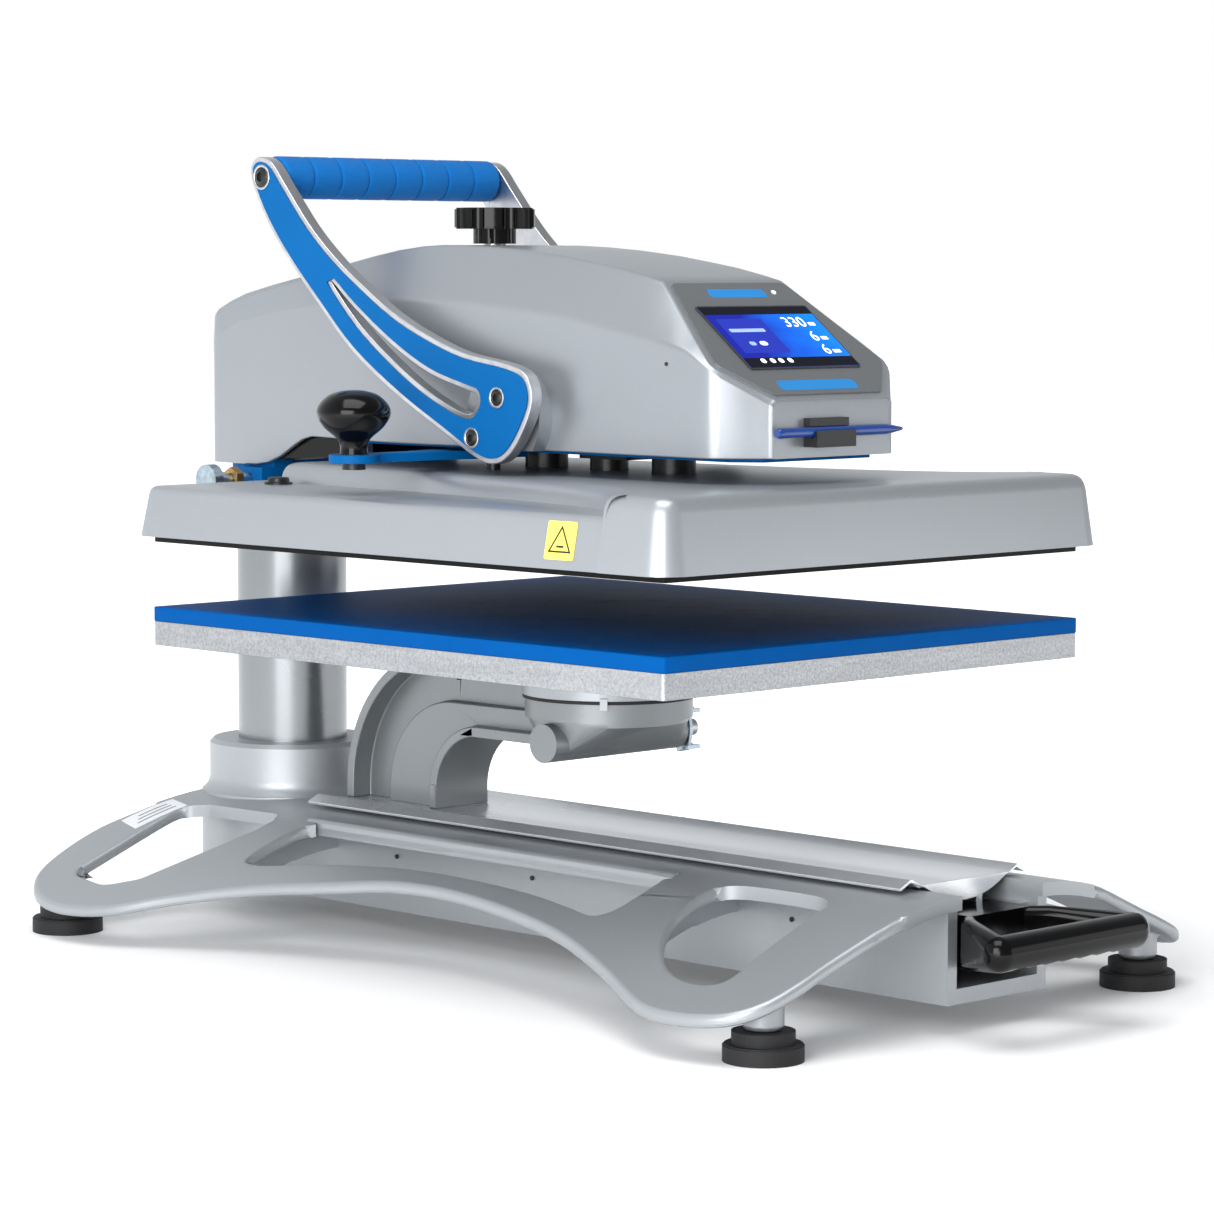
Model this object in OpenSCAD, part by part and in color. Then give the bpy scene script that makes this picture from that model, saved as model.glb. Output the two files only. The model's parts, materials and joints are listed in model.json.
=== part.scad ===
// Swing-away heat press with a draw-out lower platen.
// Lengths are millimetres. X runs to the operator's right, Y to the back, Z up.
// The origin is on the bench, under the middle of the whole footprint.

/* [Platens] */
// Width of both platens
platen_w = 406.4; // [396:0.1:408]
// Depth of both platens
platen_d = 508; // [500:0.5:510]
// Height of the top of the silicone pad
pad_top = 245.5; // [244:0.1:245.5]
// Thickness of the silicone pad
pad_t = 10.4; // [6:0.1:12]
// Thickness of the cast lower platen
lower_t = 17; // [14:0.5:18]
// Gap between the pad and the heat platen when the press is open
open_gap = 46; // [46:0.1:48]
// Thickness of the heat platen
heat_t = 12; // [10:0.5:12]
// How far the platen cover overhangs the platens on each side
cover_over = 11.8; // [9:0.1:13]
// Corner radius of the platen cover
cover_corner = 21; // [14:1:24]
// Height of the lower top face of the platen cover
cover_low = 331; // [329:0.5:332]
// Height of the raised top face of the platen cover
cover_high = 345; // [342:0.5:346]

/* [Base] */
// Radius of the column
column_r = 41.2; // [40:0.1:42]
// Distance from the front edge of the platens back to the column axis
column_y = 596; // [594:1:600]
// Height of the rim of the column socket
socket_top = 129; // [125:1:135]
// Radius of the column socket
socket_r = 63; // [60:1:64]
// Height of the wings beside the channel
wing_top = 90; // [89:0.5:91]
// Thickness of the wings
wing_t = 9; // [7:0.5:10]
// Half of the width inside the channel
channel_in = 40; // [39.5:0.5:41]
// Radius of the rubber feet
foot_r = 25.6; // [22:0.1:28]
// Height of the rubber feet
foot_h = 11; // [9:0.5:12]

/* [Head] */
// Half of the width of the housing
housing_w = 88; // [86:0.5:90]
// Wall thickness of the housing
housing_wall = 3.5; // [3:0.1:4]
// Height of the lever shaft
shaft_z = 384; // [383:0.5:385]
// Radius of the lever shaft
shaft_r = 11; // [9:0.5:12]
// Throw of the crank
crank_r = 29.8; // [28:0.1:30]
// Angle of the crank from straight back to its place when the press is open
crank_open = 130; // [128:1:132]
// Length of the toggle link between its centres
link_l = 34; // [33:0.5:35]
// Distance from the front edge of the platens back to the pressure knob
knob_y = 371; // [368:1:374]
// Radius of the pressure knob
knob_r = 28.8; // [26:0.1:31]

/* [Lever] */
// Inner face of each lever arm, from the middle plane
arm_in = 105; // [104:0.5:107]
// Thickness of each lever arm
arm_t = 10; // [8:0.5:12]
// Radius of the foam grip
foam_r = 15.3; // [13:0.1:17]

/* [Carriage] */
// Half of the width of the sled
sled_w = 26; // [25:0.5:26]
// Half of the width of the tray cover between its creases
crease_w = 52; // [50:0.5:53]
// Front of the draw handle, from the front edge of the platens
handle_front = -169; // [-172:1:-166]
// Half of the length of the draw handle's bar
handle_w = 77; // [70:1:80]

/* [Hidden] */
$fn = 64;

// The part is drawn from the front edge of the platens and moved to its origin.
socket_flare = 69;
middle_y = (handle_front + column_y + socket_flare) / 2;
platen_mid = platen_d / 2;
cast_grey = [0.63, 0.65, 0.67];
body_grey = [0.66, 0.68, 0.71];
press_blue = [0.0, 0.42, 0.78];
black = [0.06, 0.06, 0.07];
steel = [0.72, 0.73, 0.75];
bronze = [0.70, 0.52, 0.28];
running_fit = 0.05;

module placed() {
  translate([0, -middle_y, 0]) children();
}

// A copy of the children on each side of the middle plane.
module both_sides() {
  for (side = [0, 1]) mirror([side, 0, 0]) children();
}

// A cylinder along X between two places.
module rod_x(r, x0, x1, y, z) {
  translate([x0, y, z]) rotate([0, 90, 0]) cylinder(r = r, h = x1 - x0);
}

// A cylinder along Z between two heights.
module rod_z(r, x, y, z0, z1) {
  translate([x, y, z0]) cylinder(r = r, h = z1 - z0);
}

// A block between two corners.
module block(low, high) {
  translate(low) cube(high - low);
}

// A profile drawn in Y and Z, made into a plate between two places along X.
module plate_x(x0, x1) {
  translate([x0, 0, 0]) rotate([90, 0, 90]) linear_extrude(x1 - x0) children();
}

// A profile drawn in X and Z, made into a bar between two places along Y.
module bar_y(y0, y1) {
  translate([0, y1, 0]) rotate([90, 0, 0]) linear_extrude(y1 - y0) children();
}

// Points along an arc.
function arc(c, r, a0, a1, n) =
  [for (i = [0:n]) let (a = a0 + (a1 - a0) * i / n) c + r * [cos(a), sin(a)]];

// A closed smooth curve through the given points, with n steps between them.
function smooth(p, n) =
  let (m = len(p))
  [for (i = [0:m - 1])
    let (a = p[(i + m - 1) % m], b = p[i], c = p[(i + 1) % m], d = p[(i + 2) % m])
    for (k = [0:n - 1])
      let (t = k / n)
      0.5 * (2 * b + t * (c - a) + t * t * (2 * a - 5 * b + 4 * c - d)
        + t * t * t * (3 * b - a - 3 * c + d))];

// An open smooth curve through the given points.
function smooth_open(p, n) =
  let (m = len(p))
  concat([for (i = [0:m - 2])
    let (a = p[max(i - 1, 0)], b = p[i], c = p[i + 1], d = p[min(i + 2, m - 1)])
    for (k = [0:n - 1])
      let (t = k / n)
      0.5 * (2 * b + t * (c - a) + t * t * (2 * a - 5 * b + 4 * c - d)
        + t * t * t * (3 * b - a - 3 * c + d))], [p[m - 1]]);

// A smooth shell, kept as a fine mesh.
module shell() {
  resize([0, 0, 0]) children();
}

// Half of a turn's remainder, between -180 and 180.
function wrap(a) = a > 180 ? a - 360 : a < -180 ? a + 360 : a;

// A polygon whose corners are rounded, each with its own radius.
function rounded(p, r, n) =
  let (m = len(p))
  [for (i = [0:m - 1])
    let (
      b = p[i],
      u = (p[(i + m - 1) % m] - b) / norm(p[(i + m - 1) % m] - b),
      v = (p[(i + 1) % m] - b) / norm(p[(i + 1) % m] - b),
      half = acos(max(-1, min(1, u * v))) / 2,
      rad = r[i],
      mid = b + (u + v) / norm(u + v) * rad / sin(half),
      start = b + u * rad / tan(half) - mid,
      end = b + v * rad / tan(half) - mid,
      a0 = atan2(start[1], start[0]),
      turn = wrap(atan2(end[1], end[0]) - a0)
    )
    for (k = [0:n])
      mid + rad * [cos(a0 + turn * k / n), sin(a0 + turn * k / n)]];

// The same rounding at every corner.
function rounded_all(p, r, n) = rounded(p, [for (q = p) r], n);

// The corners of a rectangle.
function box_points(x0, y0, x1, y1) = [[x0, y0], [x1, y0], [x1, y1], [x0, y1]];

// A closed outline moved inwards along its normals. The outline runs anticlockwise.
function inset(p, d) =
  let (m = len(p))
  [for (i = [0:m - 1])
    let (t = p[(i + 1) % m] - p[(i + m - 1) % m])
    p[i] + d * [-t[1], t[0]] / norm(t)];

// An outline mirrored to the other side of the middle plane and joined to itself.
function mirrored(p) =
  concat(p, [for (i = [len(p) - 1:-1:0]) [-p[i][0], p[i][1]]]);

// The outline in the other direction.
function reversed(p) = [for (i = [len(p) - 1:-1:0]) p[i]];

// A flat outline lifted to a height.
function at_z(p, z) = [for (q = p) [q[0], q[1], z]];

// A profile of X and Z set at a place along Y.
function at_y(p, y) = [for (q = p) [q[0], y, q[1]]];

// A skin over rings that all have the same number of points.
module loft(rings) {
  n = len(rings[0]);
  m = len(rings);
  polyhedron(
    points = [for (ring = rings) each ring],
    faces = concat(
      [[for (i = [0:n - 1]) i]],
      [[for (i = [n - 1:-1:0]) (m - 1) * n + i]],
      [for (k = [0:m - 2]) for (i = [0:n - 1])
        [k * n + i, (k + 1) * n + i, (k + 1) * n + (i + 1) % n]],
      [for (k = [0:m - 2]) for (i = [0:n - 1])
        [k * n + i, (k + 1) * n + (i + 1) % n, k * n + (i + 1) % n]]
    )
  );
}

// A domed socket-head screw whose axis runs along +Z, with its head at the top.
module socket_screw(head_r, head_h, shank_r, shank_l) {
  difference() {
    union() {
      intersection() {
        cylinder(r = head_r, h = head_h);
        translate([0, 0, head_h - head_r * 1.6]) sphere(r = head_r * 1.6);
      }
      translate([0, 0, -shank_l]) cylinder(r = shank_r, h = shank_l + 0.01);
    }
    translate([0, 0, head_h * 0.35]) cylinder(r = head_r * 0.5, h = head_h, $fn = 6);
  }
}

// ---------------------------------------------------------------- base

channel_out = channel_in + 9;
channel_front = -101;
channel_floor = 30;
channel_bottom = 20;
foot_spots = [[-185.7, -69.6], [185.7, -69.6], [-199, 616.5], [199, 616.5]];
wing_arc = 210;
wing_flat = 40;
wing_bend = 118;
wing_slope = 0.4;

// Height of the top of a wing.
function wing_z(x) =
  x <= wing_flat ? wing_top :
  x <= wing_bend ? wing_top - wing_arc + sqrt(wing_arc * wing_arc - pow(x - wing_flat, 2)) :
  wing_z(wing_bend) - wing_slope * (x - wing_bend);

wing_steps = [0, 40, 53, 66, 79, 92, 105, 118, 245];

wing_outline = smooth_open([
  [-57, -105], [-96, -105], [-124, -101], [-155, -97], [-182, -95], [-207, -88],
  [-223, -70], [-230, -38], [-226, 0], [-197, 62], [-171, 128], [-155, 195],
  [-146, 263], [-148, 320], [-160, 368], [-178, 433], [-203, 488], [-226, 528],
  [-235, 566], [-233, 600], [-221, 628], [-201, 648], [-170, 657], [-139, 657],
  [-108, 645], [-70, 638], [-32, 640]
], 4);

rear_opening = rounded(
  [[-197, 612], [-204, 566], [-190, 543], [-112, 508], [-84, 508], [-86, 590], [-94, 609]],
  [12, 22, 12, 12, 10, 16, 14], 5);
mid_opening = smooth(reversed([
  [-89, 130], [-95, 111], [-115, 109], [-136, 112], [-145, 122], [-141, 145], [-133, 190],
  [-128, 250], [-127, 314], [-133, 369], [-143, 420], [-150, 448], [-150, 468],
  [-138, 472], [-112, 470], [-92, 462], [-89, 440]
]), 3);
front_opening = smooth([
  [-84, -20], [-84, 30], [-90, 54], [-110, 59], [-136, 55], [-160, 41], [-182, 18],
  [-194, -8], [-195, -30], [-185, -40], [-150, -38], [-110, -38], [-91, -36]
], 3);

// Everything between two depths below the top of the wings.
module wing_band(upper, lower) {
  top = [for (x = wing_steps) [x, wing_z(x) - upper]];
  under = [for (x = reversed(wing_steps)) [x, wing_z(x) - lower]];
  bar_y(-120, 680) {
    polygon(concat(top, under));
    mirror([1, 0]) polygon(concat(top, under));
  }
}

module wing_plan() {
  difference() {
    polygon(mirrored(wing_outline));
    for (hole = [rear_opening, mid_opening, front_opening]) {
      polygon(hole);
      mirror([1, 0]) polygon(hole);
    }
  }
}

module wings() {
  intersection() {
    wing_band(0, wing_t);
    linear_extrude(200) wing_plan();
  }
  // Rounded bead along the channel side of the middle openings
  both_sides() translate([-84, 104, wing_z(84) - 4]) rotate([-90, 0, 0]) cylinder(r = 5.5, h = 372);
  // Cross ribs under the wings
  for (y = [86, 492]) intersection() {
    wing_band(3, 30);
    block([-150, y - 4, 20], [150, y + 4, 100]);
  }
}

module socket_profile() {
  polygon(concat(
    [[0, channel_bottom + 4], [socket_flare, channel_bottom + 4], [socket_flare, wing_top - 2]],
    arc([socket_r + 13, wing_top + 11], 13, 237, 180, 6),
    [[socket_r, socket_top - 3], [socket_r - 3, socket_top], [0, socket_top]]
  ));
}

module base_casting() {
  color(cast_grey) placed() difference() {
    difference() {
      union() {
        wings();
        block([-channel_out, channel_front, channel_bottom], [channel_out, column_y - 30, wing_top - 2]);
        translate([0, column_y, 0]) rotate_extrude() socket_profile();
        // Bosses for the feet, trimmed to just under the wings' top
        intersection() {
          wing_band(3, 200);
          for (spot = foot_spots) rod_z(13, spot[0], spot[1], foot_h + 8.3, wing_top);
        }
      }
      // Channel for the sled, open at the front and at the top
      block([-channel_in, channel_front - 10, channel_floor], [channel_in, column_y - socket_r - 14, 200]);
    }
    // Bore for the column
    rod_z(column_r, 0, column_y, 42, 200);
    // Bores for the foot stems
    for (spot = foot_spots)
      rod_z(5 + running_fit, spot[0], spot[1], 0, 36);
  }
}

module column() {
  color(steel) placed() difference() {
    union() {
      rod_z(column_r, 0, column_y, 42, 326);
      rod_z(35, 0, column_y, 326, 436);
    }
    rod_z(27, 0, column_y, 50, 440);
  }
}

module foot_pads() {
  color(black) placed() for (spot = foot_spots) difference() {
    union() {
      rod_z(foot_r, spot[0], spot[1], 0, foot_h - 1);
      rod_z(foot_r - 1, spot[0], spot[1], foot_h - 1, foot_h);
      rod_z(20, spot[0], spot[1], foot_h, foot_h + 8);
    }
    rod_z(5 + running_fit, spot[0], spot[1], 5, foot_h + 10);
  }
}

module foot_stems() {
  color(steel) placed() for (spot = foot_spots) rod_z(5, spot[0], spot[1], 5, 35);
}

rail_front = -92;
rail_back = 505;
rail_low = 48;
rail_high = 76;

module fixed_rails() {
  color(steel) placed() both_sides() difference() {
    block([-channel_in, rail_front, rail_low], [-32, rail_back, rail_high]);
    block([-37, rail_front - 1, rail_low + 5], [-30, rail_back + 1, rail_high - 5]);
  }
}

rail_screw_ys = [33, 150, 280, 422, 501];

module rail_screws() {
  color(black) placed() both_sides() for (y = rail_screw_ys)
    translate([-channel_out, y, 60]) rotate([0, -90, 0]) cylinder(r = 1.7, h = 1);
}

// ---------------------------------------------------------------- carriage

sled_front = -66;
sled_back = 508;
sled_top = 92;
tray_t = 2;

module sled() {
  color(steel) placed() difference() {
    block([-sled_w, sled_front, 40], [sled_w, sled_back, sled_top]);
    block([-sled_w + 6, sled_front - 1, 34], [sled_w - 6, sled_back - 12, sled_top - 8]);
  }
}

module runners() {
  color(steel) placed() both_sides()
    block([-36.7, sled_front, rail_low + 5.3], [-sled_w, sled_back - 12, rail_high - 5.3]);
}

crease_z = 98.2;

// Half of the folded sheet's section.
module tray_section() {
  z0 = sled_top;
  half = [
    [0, z0], [crease_w - 8, z0], [crease_w, crease_z - tray_t], [crease_w + 9.6, 91.6],
    [crease_w + 10.2, 93.4], [crease_w, crease_z], [crease_w - 8.6, z0 + tray_t], [0, z0 + tray_t]
  ];
  polygon(half);
  mirror([1, 0]) polygon(half);
}

module tray_cover() {
  color(body_grey) placed() {
    bar_y(-72, sled_back - 2) tray_section();
    // Apron with a curved lower edge that closes the front of the tray
    bar_y(-74, -72) polygon(concat(
      [[-crease_w, crease_z], [-crease_w, crease_z - 2]],
      [for (i = [0:12]) let (x = -40 + 80 * i / 12) [x, 80 + 12 * pow(x / 40, 2)]],
      [[crease_w, crease_z - 2], [crease_w, crease_z], [crease_w - 8.6, sled_top + tray_t],
       [8.6 - crease_w, sled_top + tray_t]]
    ));
  }
}

// Heads of the screws that hold the arm, under the sled's top
module carriage_screws() {
  color(black) placed() for (x = [-13, 13]) for (y = [425, 485])
    rod_z(5, x, y, sled_top - 12, sled_top - 8);
}

c_half = 26;
c_base = sled_top + tray_t;
c_outer = [398, 104];
c_outer_r = 106;
c_inner = [362, 106];
c_inner_r = 44;
c_front = 296;

// The side view of the arm between an outer and an inner radius, carried past its ends.
module c_shape(outer_r, inner_r, past) {
  polygon(concat(
    [[c_outer[0] + outer_r, c_base - past]],
    arc(c_outer, outer_r, 0, 90, 24),
    [[c_front - past, c_outer[1] + outer_r], [c_front - past, c_inner[1] + inner_r]],
    arc(c_inner, inner_r, 90, 0, 14),
    [[c_inner[0] + inner_r, c_base - past]]
  ));
}

module c_arm() {
  rim = 7.5;
  color(cast_grey) placed() difference() {
    union() {
      // Thin web, and a thicker band along the inside of the bend
      plate_x(-9, 9) c_shape(c_outer_r - 1, c_inner_r + 1, 0);
      plate_x(-17, 17) c_shape(c_inner_r + 24, c_inner_r + 1, 0);
      // Flanges round the outside and the inside of the bend
      plate_x(-c_half, c_half) difference() {
        c_shape(c_outer_r, c_inner_r, 0);
        c_shape(c_outer_r - rim, c_inner_r + rim, 1);
      }
    }
    receiver_room();
  }
}

// The room that the receiver's round top takes out of the arm
module receiver_room() {
  rod_z(hub_r + 1.4, 0, platen_mid, 163, 222);
}

hub_r = 60;
gasket_low = 186.5;
gasket_high = 189;
boss_z = 158;

module receiver() {
  color(cast_grey) placed() difference() {
    union() {
      rod_z(hub_r - 1, 0, platen_mid, 173, gasket_low);
      // Hull-shaped body from the round top down to the latch shaft's boss
      hull() {
        rod_z(hub_r - 4, 0, platen_mid, 170, 174, $fn = 48);
        rod_x(12, -52, 62, platen_mid, boss_z + 1, $fn = 32);
      }
      rod_x(13.5, -64, 66, platen_mid, boss_z);
      hull() {
        block([-c_half, c_front - 4, 150.5], [c_half, c_front, 164]);
        rod_z(36, 0, platen_mid, 166, 184, $fn = 48);
        block([-16, platen_mid, 150.5], [16, platen_mid + 10, 180]);
      }
    }
    rod_x(6 + running_fit, -52, 80, platen_mid, boss_z);
    rod_z(20 + running_fit, 0, platen_mid, 168, 220);
  }
}

module gasket_ring() {
  color(black) placed() difference() {
    rod_z(hub_r + 0.6, 0, platen_mid, gasket_low, gasket_high);
    rod_z(hub_r - 12, 0, platen_mid, gasket_low - 1, gasket_high + 1);
  }
}

lower_bottom = pad_top - pad_t - lower_t;

module platen_hub() {
  color(steel) placed() {
    rod_z(hub_r + 1, 0, platen_mid, gasket_high, lower_bottom);
    rod_z(20, 0, platen_mid, 170, gasket_high);
    // Catch that keys the platen to the receiver
    rotate_about(platen_mid, 222) block([hub_r + 0.8, -2.6, gasket_low - 3.5], [hub_r + 2.8, 2.6, gasket_high + 2]);
  }
}

// Turns the children about the upright line through the middle of the platens.
module rotate_about(y, angle) {
  translate([0, y, 0]) rotate([0, 0, angle]) children();
}

module platen_slab(z0, z1, grow, corner) {
  half = platen_w / 2 + grow;
  translate([0, 0, z0]) linear_extrude(z1 - z0)
    polygon(rounded_all(box_points(-half, -grow, half, platen_d + grow), corner, 4));
}

module lower_platen() {
  color(steel) placed() platen_slab(lower_bottom, pad_top - pad_t, 0, 3);
}

module silicone_pad() {
  color(press_blue) placed() platen_slab(pad_top - pad_t, pad_top, 0, 2);
}

handle_low = 51;
handle_high = 74;
handle_bar = 22;

// An upright rounded post of the handle's outline.
module handle_post(x, y, r, z0, z1) {
  edge = min(r - 0.5, (z1 - z0) / 2 - 1);
  translate([x, y, 0]) rotate_extrude($fn = 28) polygon(concat(
    [[0, z0]], arc([r - edge, z0 + edge], edge, 270, 360, 5),
    arc([r - edge, z1 - edge], edge, 0, 90, 5), [[0, z1]]));
}

module draw_handle() {
  bar_y0 = handle_front + handle_bar / 2;
  color(black) placed() difference() {
    union() {
      // Root block inside the channel
      block([-31, -104, 42], [31, sled_front, 76]);
      hull() {
        handle_post(-handle_w + 11, bar_y0, 11, handle_low, handle_high);
        handle_post(handle_w - 11, bar_y0, 11, handle_low, handle_high);
      }
      both_sides() hull() {
        handle_post(-handle_w + 10, bar_y0, 10, handle_low, handle_high);
        handle_post(-39, -111, 6, 43, 76);
      }
      both_sides() hull() {
        handle_post(-39, -111, 6, 43, 76);
        handle_post(-25, -98, 6, 43, 76);
      }
    }
    // Finger scallops under the bar
    for (i = [-3:3]) translate([i * 17, bar_y0, handle_low - 16])
      rotate([90, 0, 0]) cylinder(r = 18.5, h = 30, center = true);
  }
}

latch_x = 68;

module latch_shaft() {
  color(steel) placed() {
    rod_x(6, -50, latch_x + 16, platen_mid, boss_z);
    rod_x(9, latch_x, latch_x + 2.5, platen_mid, boss_z);
  }
}

module latch_plate() {
  color([0.45, 0.50, 0.54]) placed() translate([0, platen_mid, boss_z]) difference() {
    union() {
      hull() {
        block([latch_x + 2.5, -9, -13], [latch_x + 5.5, 9, 13]);
        rod_x(11, latch_x + 2.5, latch_x + 5.5, 0, 0, $fn = 32);
      }
      for (end = [-1, 1]) {
        translate([latch_x + 2.5, 0, end * 14]) rotate([end * 24, 0, 0]) block([0, -3, -2], [12, 3, 2]);
        translate([latch_x + 2.5, -8, end * 13]) block([0, -1.5, -1.5], [12, 1.5, 1.5]);
      }
      rod_x(8, latch_x + 5, latch_x + 9, 0, 0);
    }
    rod_x(6, latch_x - 1, latch_x + 20, 0, 0);
  }
}

// ---------------------------------------------------------------- head

clamp_r = 44.5;
bush_r = 38;
clamp_low = 328;
clamp_high = 430;
floor_low = 359;
floor_high = 367;
cheek_in = 50;
cheek_out = 60;
ear_y = 567;
ear_z = 329;
post_ys = [platen_mid - 63, platen_mid + 63];
post_r = 15.3;
post_bush_r = 18.2;
collar_r = 20.5;
rod_spots = [[-57, 311], [57, 311]];
shaft_y = 256;

module cheek_profile() {
  polygon([
    [150, floor_low], [440, floor_low], [440, 400], [420, 410], [330, 412], [278, 414],
    [234, 414], [205, 400], [165, 372]
  ]);
}

module swing_arm() {
  color(press_blue) placed() difference() {
    union() {
      rod_z(clamp_r, 0, column_y, clamp_low, clamp_high);
      // Floor plate
      translate([0, 0, floor_low]) linear_extrude(floor_high - floor_low)
        polygon([[-52, 58], [52, 58], [66, 76], [66, 330], [cheek_out, 350], [cheek_out, 435],
          [48, 470], [48, 560], [-48, 560], [-48, 470], [-cheek_out, 435], [-cheek_out, 350],
          [-66, 330], [-66, 76]]);
      both_sides() plate_x(cheek_in, cheek_out) cheek_profile();
      both_sides() rod_x(22, cheek_in - 8, cheek_out, shaft_y, shaft_z);
      // Collars around the guide posts
      for (y = post_ys) rod_z(collar_r, 0, y, floor_low, 396);
      // Ear of the column clamp
      block([-66, ear_y - 15, ear_z - 9], [-36, ear_y + 15, 337]);
      block([-54, ear_y - 15, ear_z - 9], [-36, ear_y + 15, floor_high]);
    }
    rod_z(bush_r, 0, column_y, clamp_low - 1, clamp_high + 1);
    rod_z(column_r + 0.5, 0, column_y, clamp_low - 12, clamp_low - 1);
    for (side = [-1, 1]) rod_x(15, side * 51 - 12, side * 51 + 12, shaft_y, shaft_z);
    for (y = post_ys) rod_z(post_bush_r, 0, y, floor_low - 1, 398);
    for (spot = rod_spots) {
      rod_z(6, spot[0], spot[1], floor_low - 1, floor_high + 1);
      rod_z(8.5, spot[0], spot[1], floor_high, floor_high + 60);
    }
    // Window for the toggle link and the press block
    block([-22, 209.8, floor_low - 1], [22, 291, floor_high + 1]);
    rod_x(4 + running_fit, -70, -30, ear_y, ear_z);
  }
}

module column_bushes() {
  color(bronze) placed() for (z = [clamp_low, clamp_high - 24]) difference() {
    rod_z(bush_r, 0, column_y, z, z + 24);
    rod_z(35 + running_fit, 0, column_y, z - 1, z + 25);
  }
}

module clamp_nut() {
  color(bronze) placed() difference() {
    translate([-84, ear_y, ear_z]) rotate([0, 90, 0]) cylinder(r = 9, h = 7, $fn = 6);
    rod_x(4 + running_fit, -90, -70, ear_y, ear_z);
  }
}

knob_arm_y = 325;
knob_arm_x = -174;
arm_strip_low = 353;

module swing_handle_arm() {
  color(press_blue) placed() difference() {
    union() {
      rod_z(17, knob_arm_x, knob_arm_y, arm_strip_low, floor_low);
      translate([0, 0, arm_strip_low]) linear_extrude(floor_low - arm_strip_low)
        polygon([[knob_arm_x, knob_arm_y - 8], [-120, knob_arm_y - 9], [-66, knob_arm_y - 18],
          [-28, knob_arm_y - 18], [-28, knob_arm_y + 24], [-66, knob_arm_y + 24],
          [-120, knob_arm_y + 9], [knob_arm_x, knob_arm_y + 8]]);
    }
    rod_z(4 + running_fit, knob_arm_x, knob_arm_y, 300, 400);
    rod_z(post_r + 1, 0, post_ys[1], 300, 400);
    rod_z(7, rod_spots[0][0], rod_spots[0][1], 300, 400);
  }
}

module swing_knob() {
  color(black) placed() translate([knob_arm_x, knob_arm_y, floor_low]) difference() {
    rotate_extrude() polygon(concat([[0, 0]], smooth_open([
      [9.5, 0], [9.5, 6], [12, 11], [20, 18], [25, 26], [24, 33], [17, 40], [8, 43], [0, 43.6]
    ], 4)));
    translate([0, 0, -1]) cylinder(r = 4 + running_fit, h = 25);
  }
}

module swing_knob_bolt() {
  color(black) placed() translate([knob_arm_x, knob_arm_y, 0]) {
    translate([0, 0, arm_strip_low]) cylinder(r = 4, h = 26);
    translate([0, 0, arm_strip_low - 4.5]) cylinder(r = 8, h = 4.5);
  }
}

panel_front = 46.8;
panel_low = 401;
panel_slope = 37.74;
roof = [
  [44, 398.5], [44.6, 400], [panel_front, panel_low], [145, 477], [160, 480.5], [185, 485.5],
  [208, 489], [240, 493.5], [277, 497.3], [310, 499.6], [340, 500.8], [371, 501], [400, 499],
  [435, 493.5], [460, 489], [485, 484], [515, 478.8], [550, 472.5], [583, 465.5], [600, 460],
  [612, 455], [630, 448], [642, 441], [647, 435], [648, 430]
];
roof_half = [[44, 54], [panel_front, 56], [74, 86.2], [145, 58], [600, 57.5]];
side_half = [
  [44, 57.6], [44.6, 58.6], [46, 59.4], [68, 83], [72, 86], [76, 87.6], [82, housing_w],
  [365, housing_w], [385, 87.2], [410, 84.3], [435, 79], [460, 72], [480, 66.6], [500, 62.6],
  [520, 60.6], [540, 60], [608, 60], [613, 59.2], [618, 56.8], [624, 52], [630, 47], [636, 41.5],
  [640.5, 36], [644, 29.5], [646.5, 21], [648, 10]
];
shoulder = [
  [44, 396.5], [panel_front, 398.3], [74, 420], [95, 432], [132, 440], [215, 454], [297, 461],
  [360, 463], [420, 462], [460, 460], [500, 457], [540, 452], [583, 445], [614, 432], [648, 424]
];
underside = [[44, 362], [500, 362], [512, 359.5], [524, 354], [538, 346.5], [552, 341], [566, 339], [648, 339]];
housing_stations = [
  648, 646.5, 644, 640.5, 636, 630, 624, 618, 613, 608, 600, 583, 566, 552, 538, 524, 512, 500, 480, 460, 435, 410, 385,
  365, 340, 310, 277, 240, 208, 185, 160, 145, 132, 114, 95, 82, 76, 72, 68, 56, panel_front,
  46, 44.6, 44
];

// A cross-section of the housing, thinned on every face by the same amount.
function housing_section(y, thin) =
  let (
    w = lookup(y, side_half) - thin,
    top = lookup(y, roof) - thin,
    half = min(lookup(y, roof_half), w + thin - 1.5) - thin * 0.8,
    edge = min(lookup(y, shoulder), lookup(y, roof) - 1.5) - thin * 0.7,
    low = lookup(y, underside) - (thin > 0 ? 10 : 0),
    turn = norm([w - half, top - edge])
  )
  rounded(
    [[-w, low], [w, low], [w, edge], [half, top], [-half, top], [-w, edge]],
    [1, 1, min(8, turn * 0.4), min(6, turn * 0.4), min(6, turn * 0.4), min(8, turn * 0.4)], 5);

module housing() {
  color(body_grey) placed() shell() difference() {
    union() {
      loft([for (y = housing_stations) at_y(housing_section(y, 0), y)]);
      // Bosses where the lever shaft comes out
      both_sides() intersection() {
        rod_x(36, 80, 100, shaft_y, shaft_z);
        block([70, 200, 362], [120, 320, 460]);
      }
    }
    loft([for (y = housing_stations) if (y > 48 && y < 643) at_y(housing_section(y, housing_wall), y)]);
    rod_x(24, -101, 101, shaft_y, shaft_z);
    rod_z(10, 0, knob_y, 480, 520);
    // Power inlet and switch openings
    block([50, 556, 388], [70, 584, 408]);
    block([50, 556, 416], [70, 577, 428]);
  }
}

module housing_screws() {
  color(black) placed() both_sides() {
    translate([-housing_w, 112, 423]) rotate([0, -90, 0]) cylinder(r = 1.3, h = 0.6);
  }
}

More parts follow.
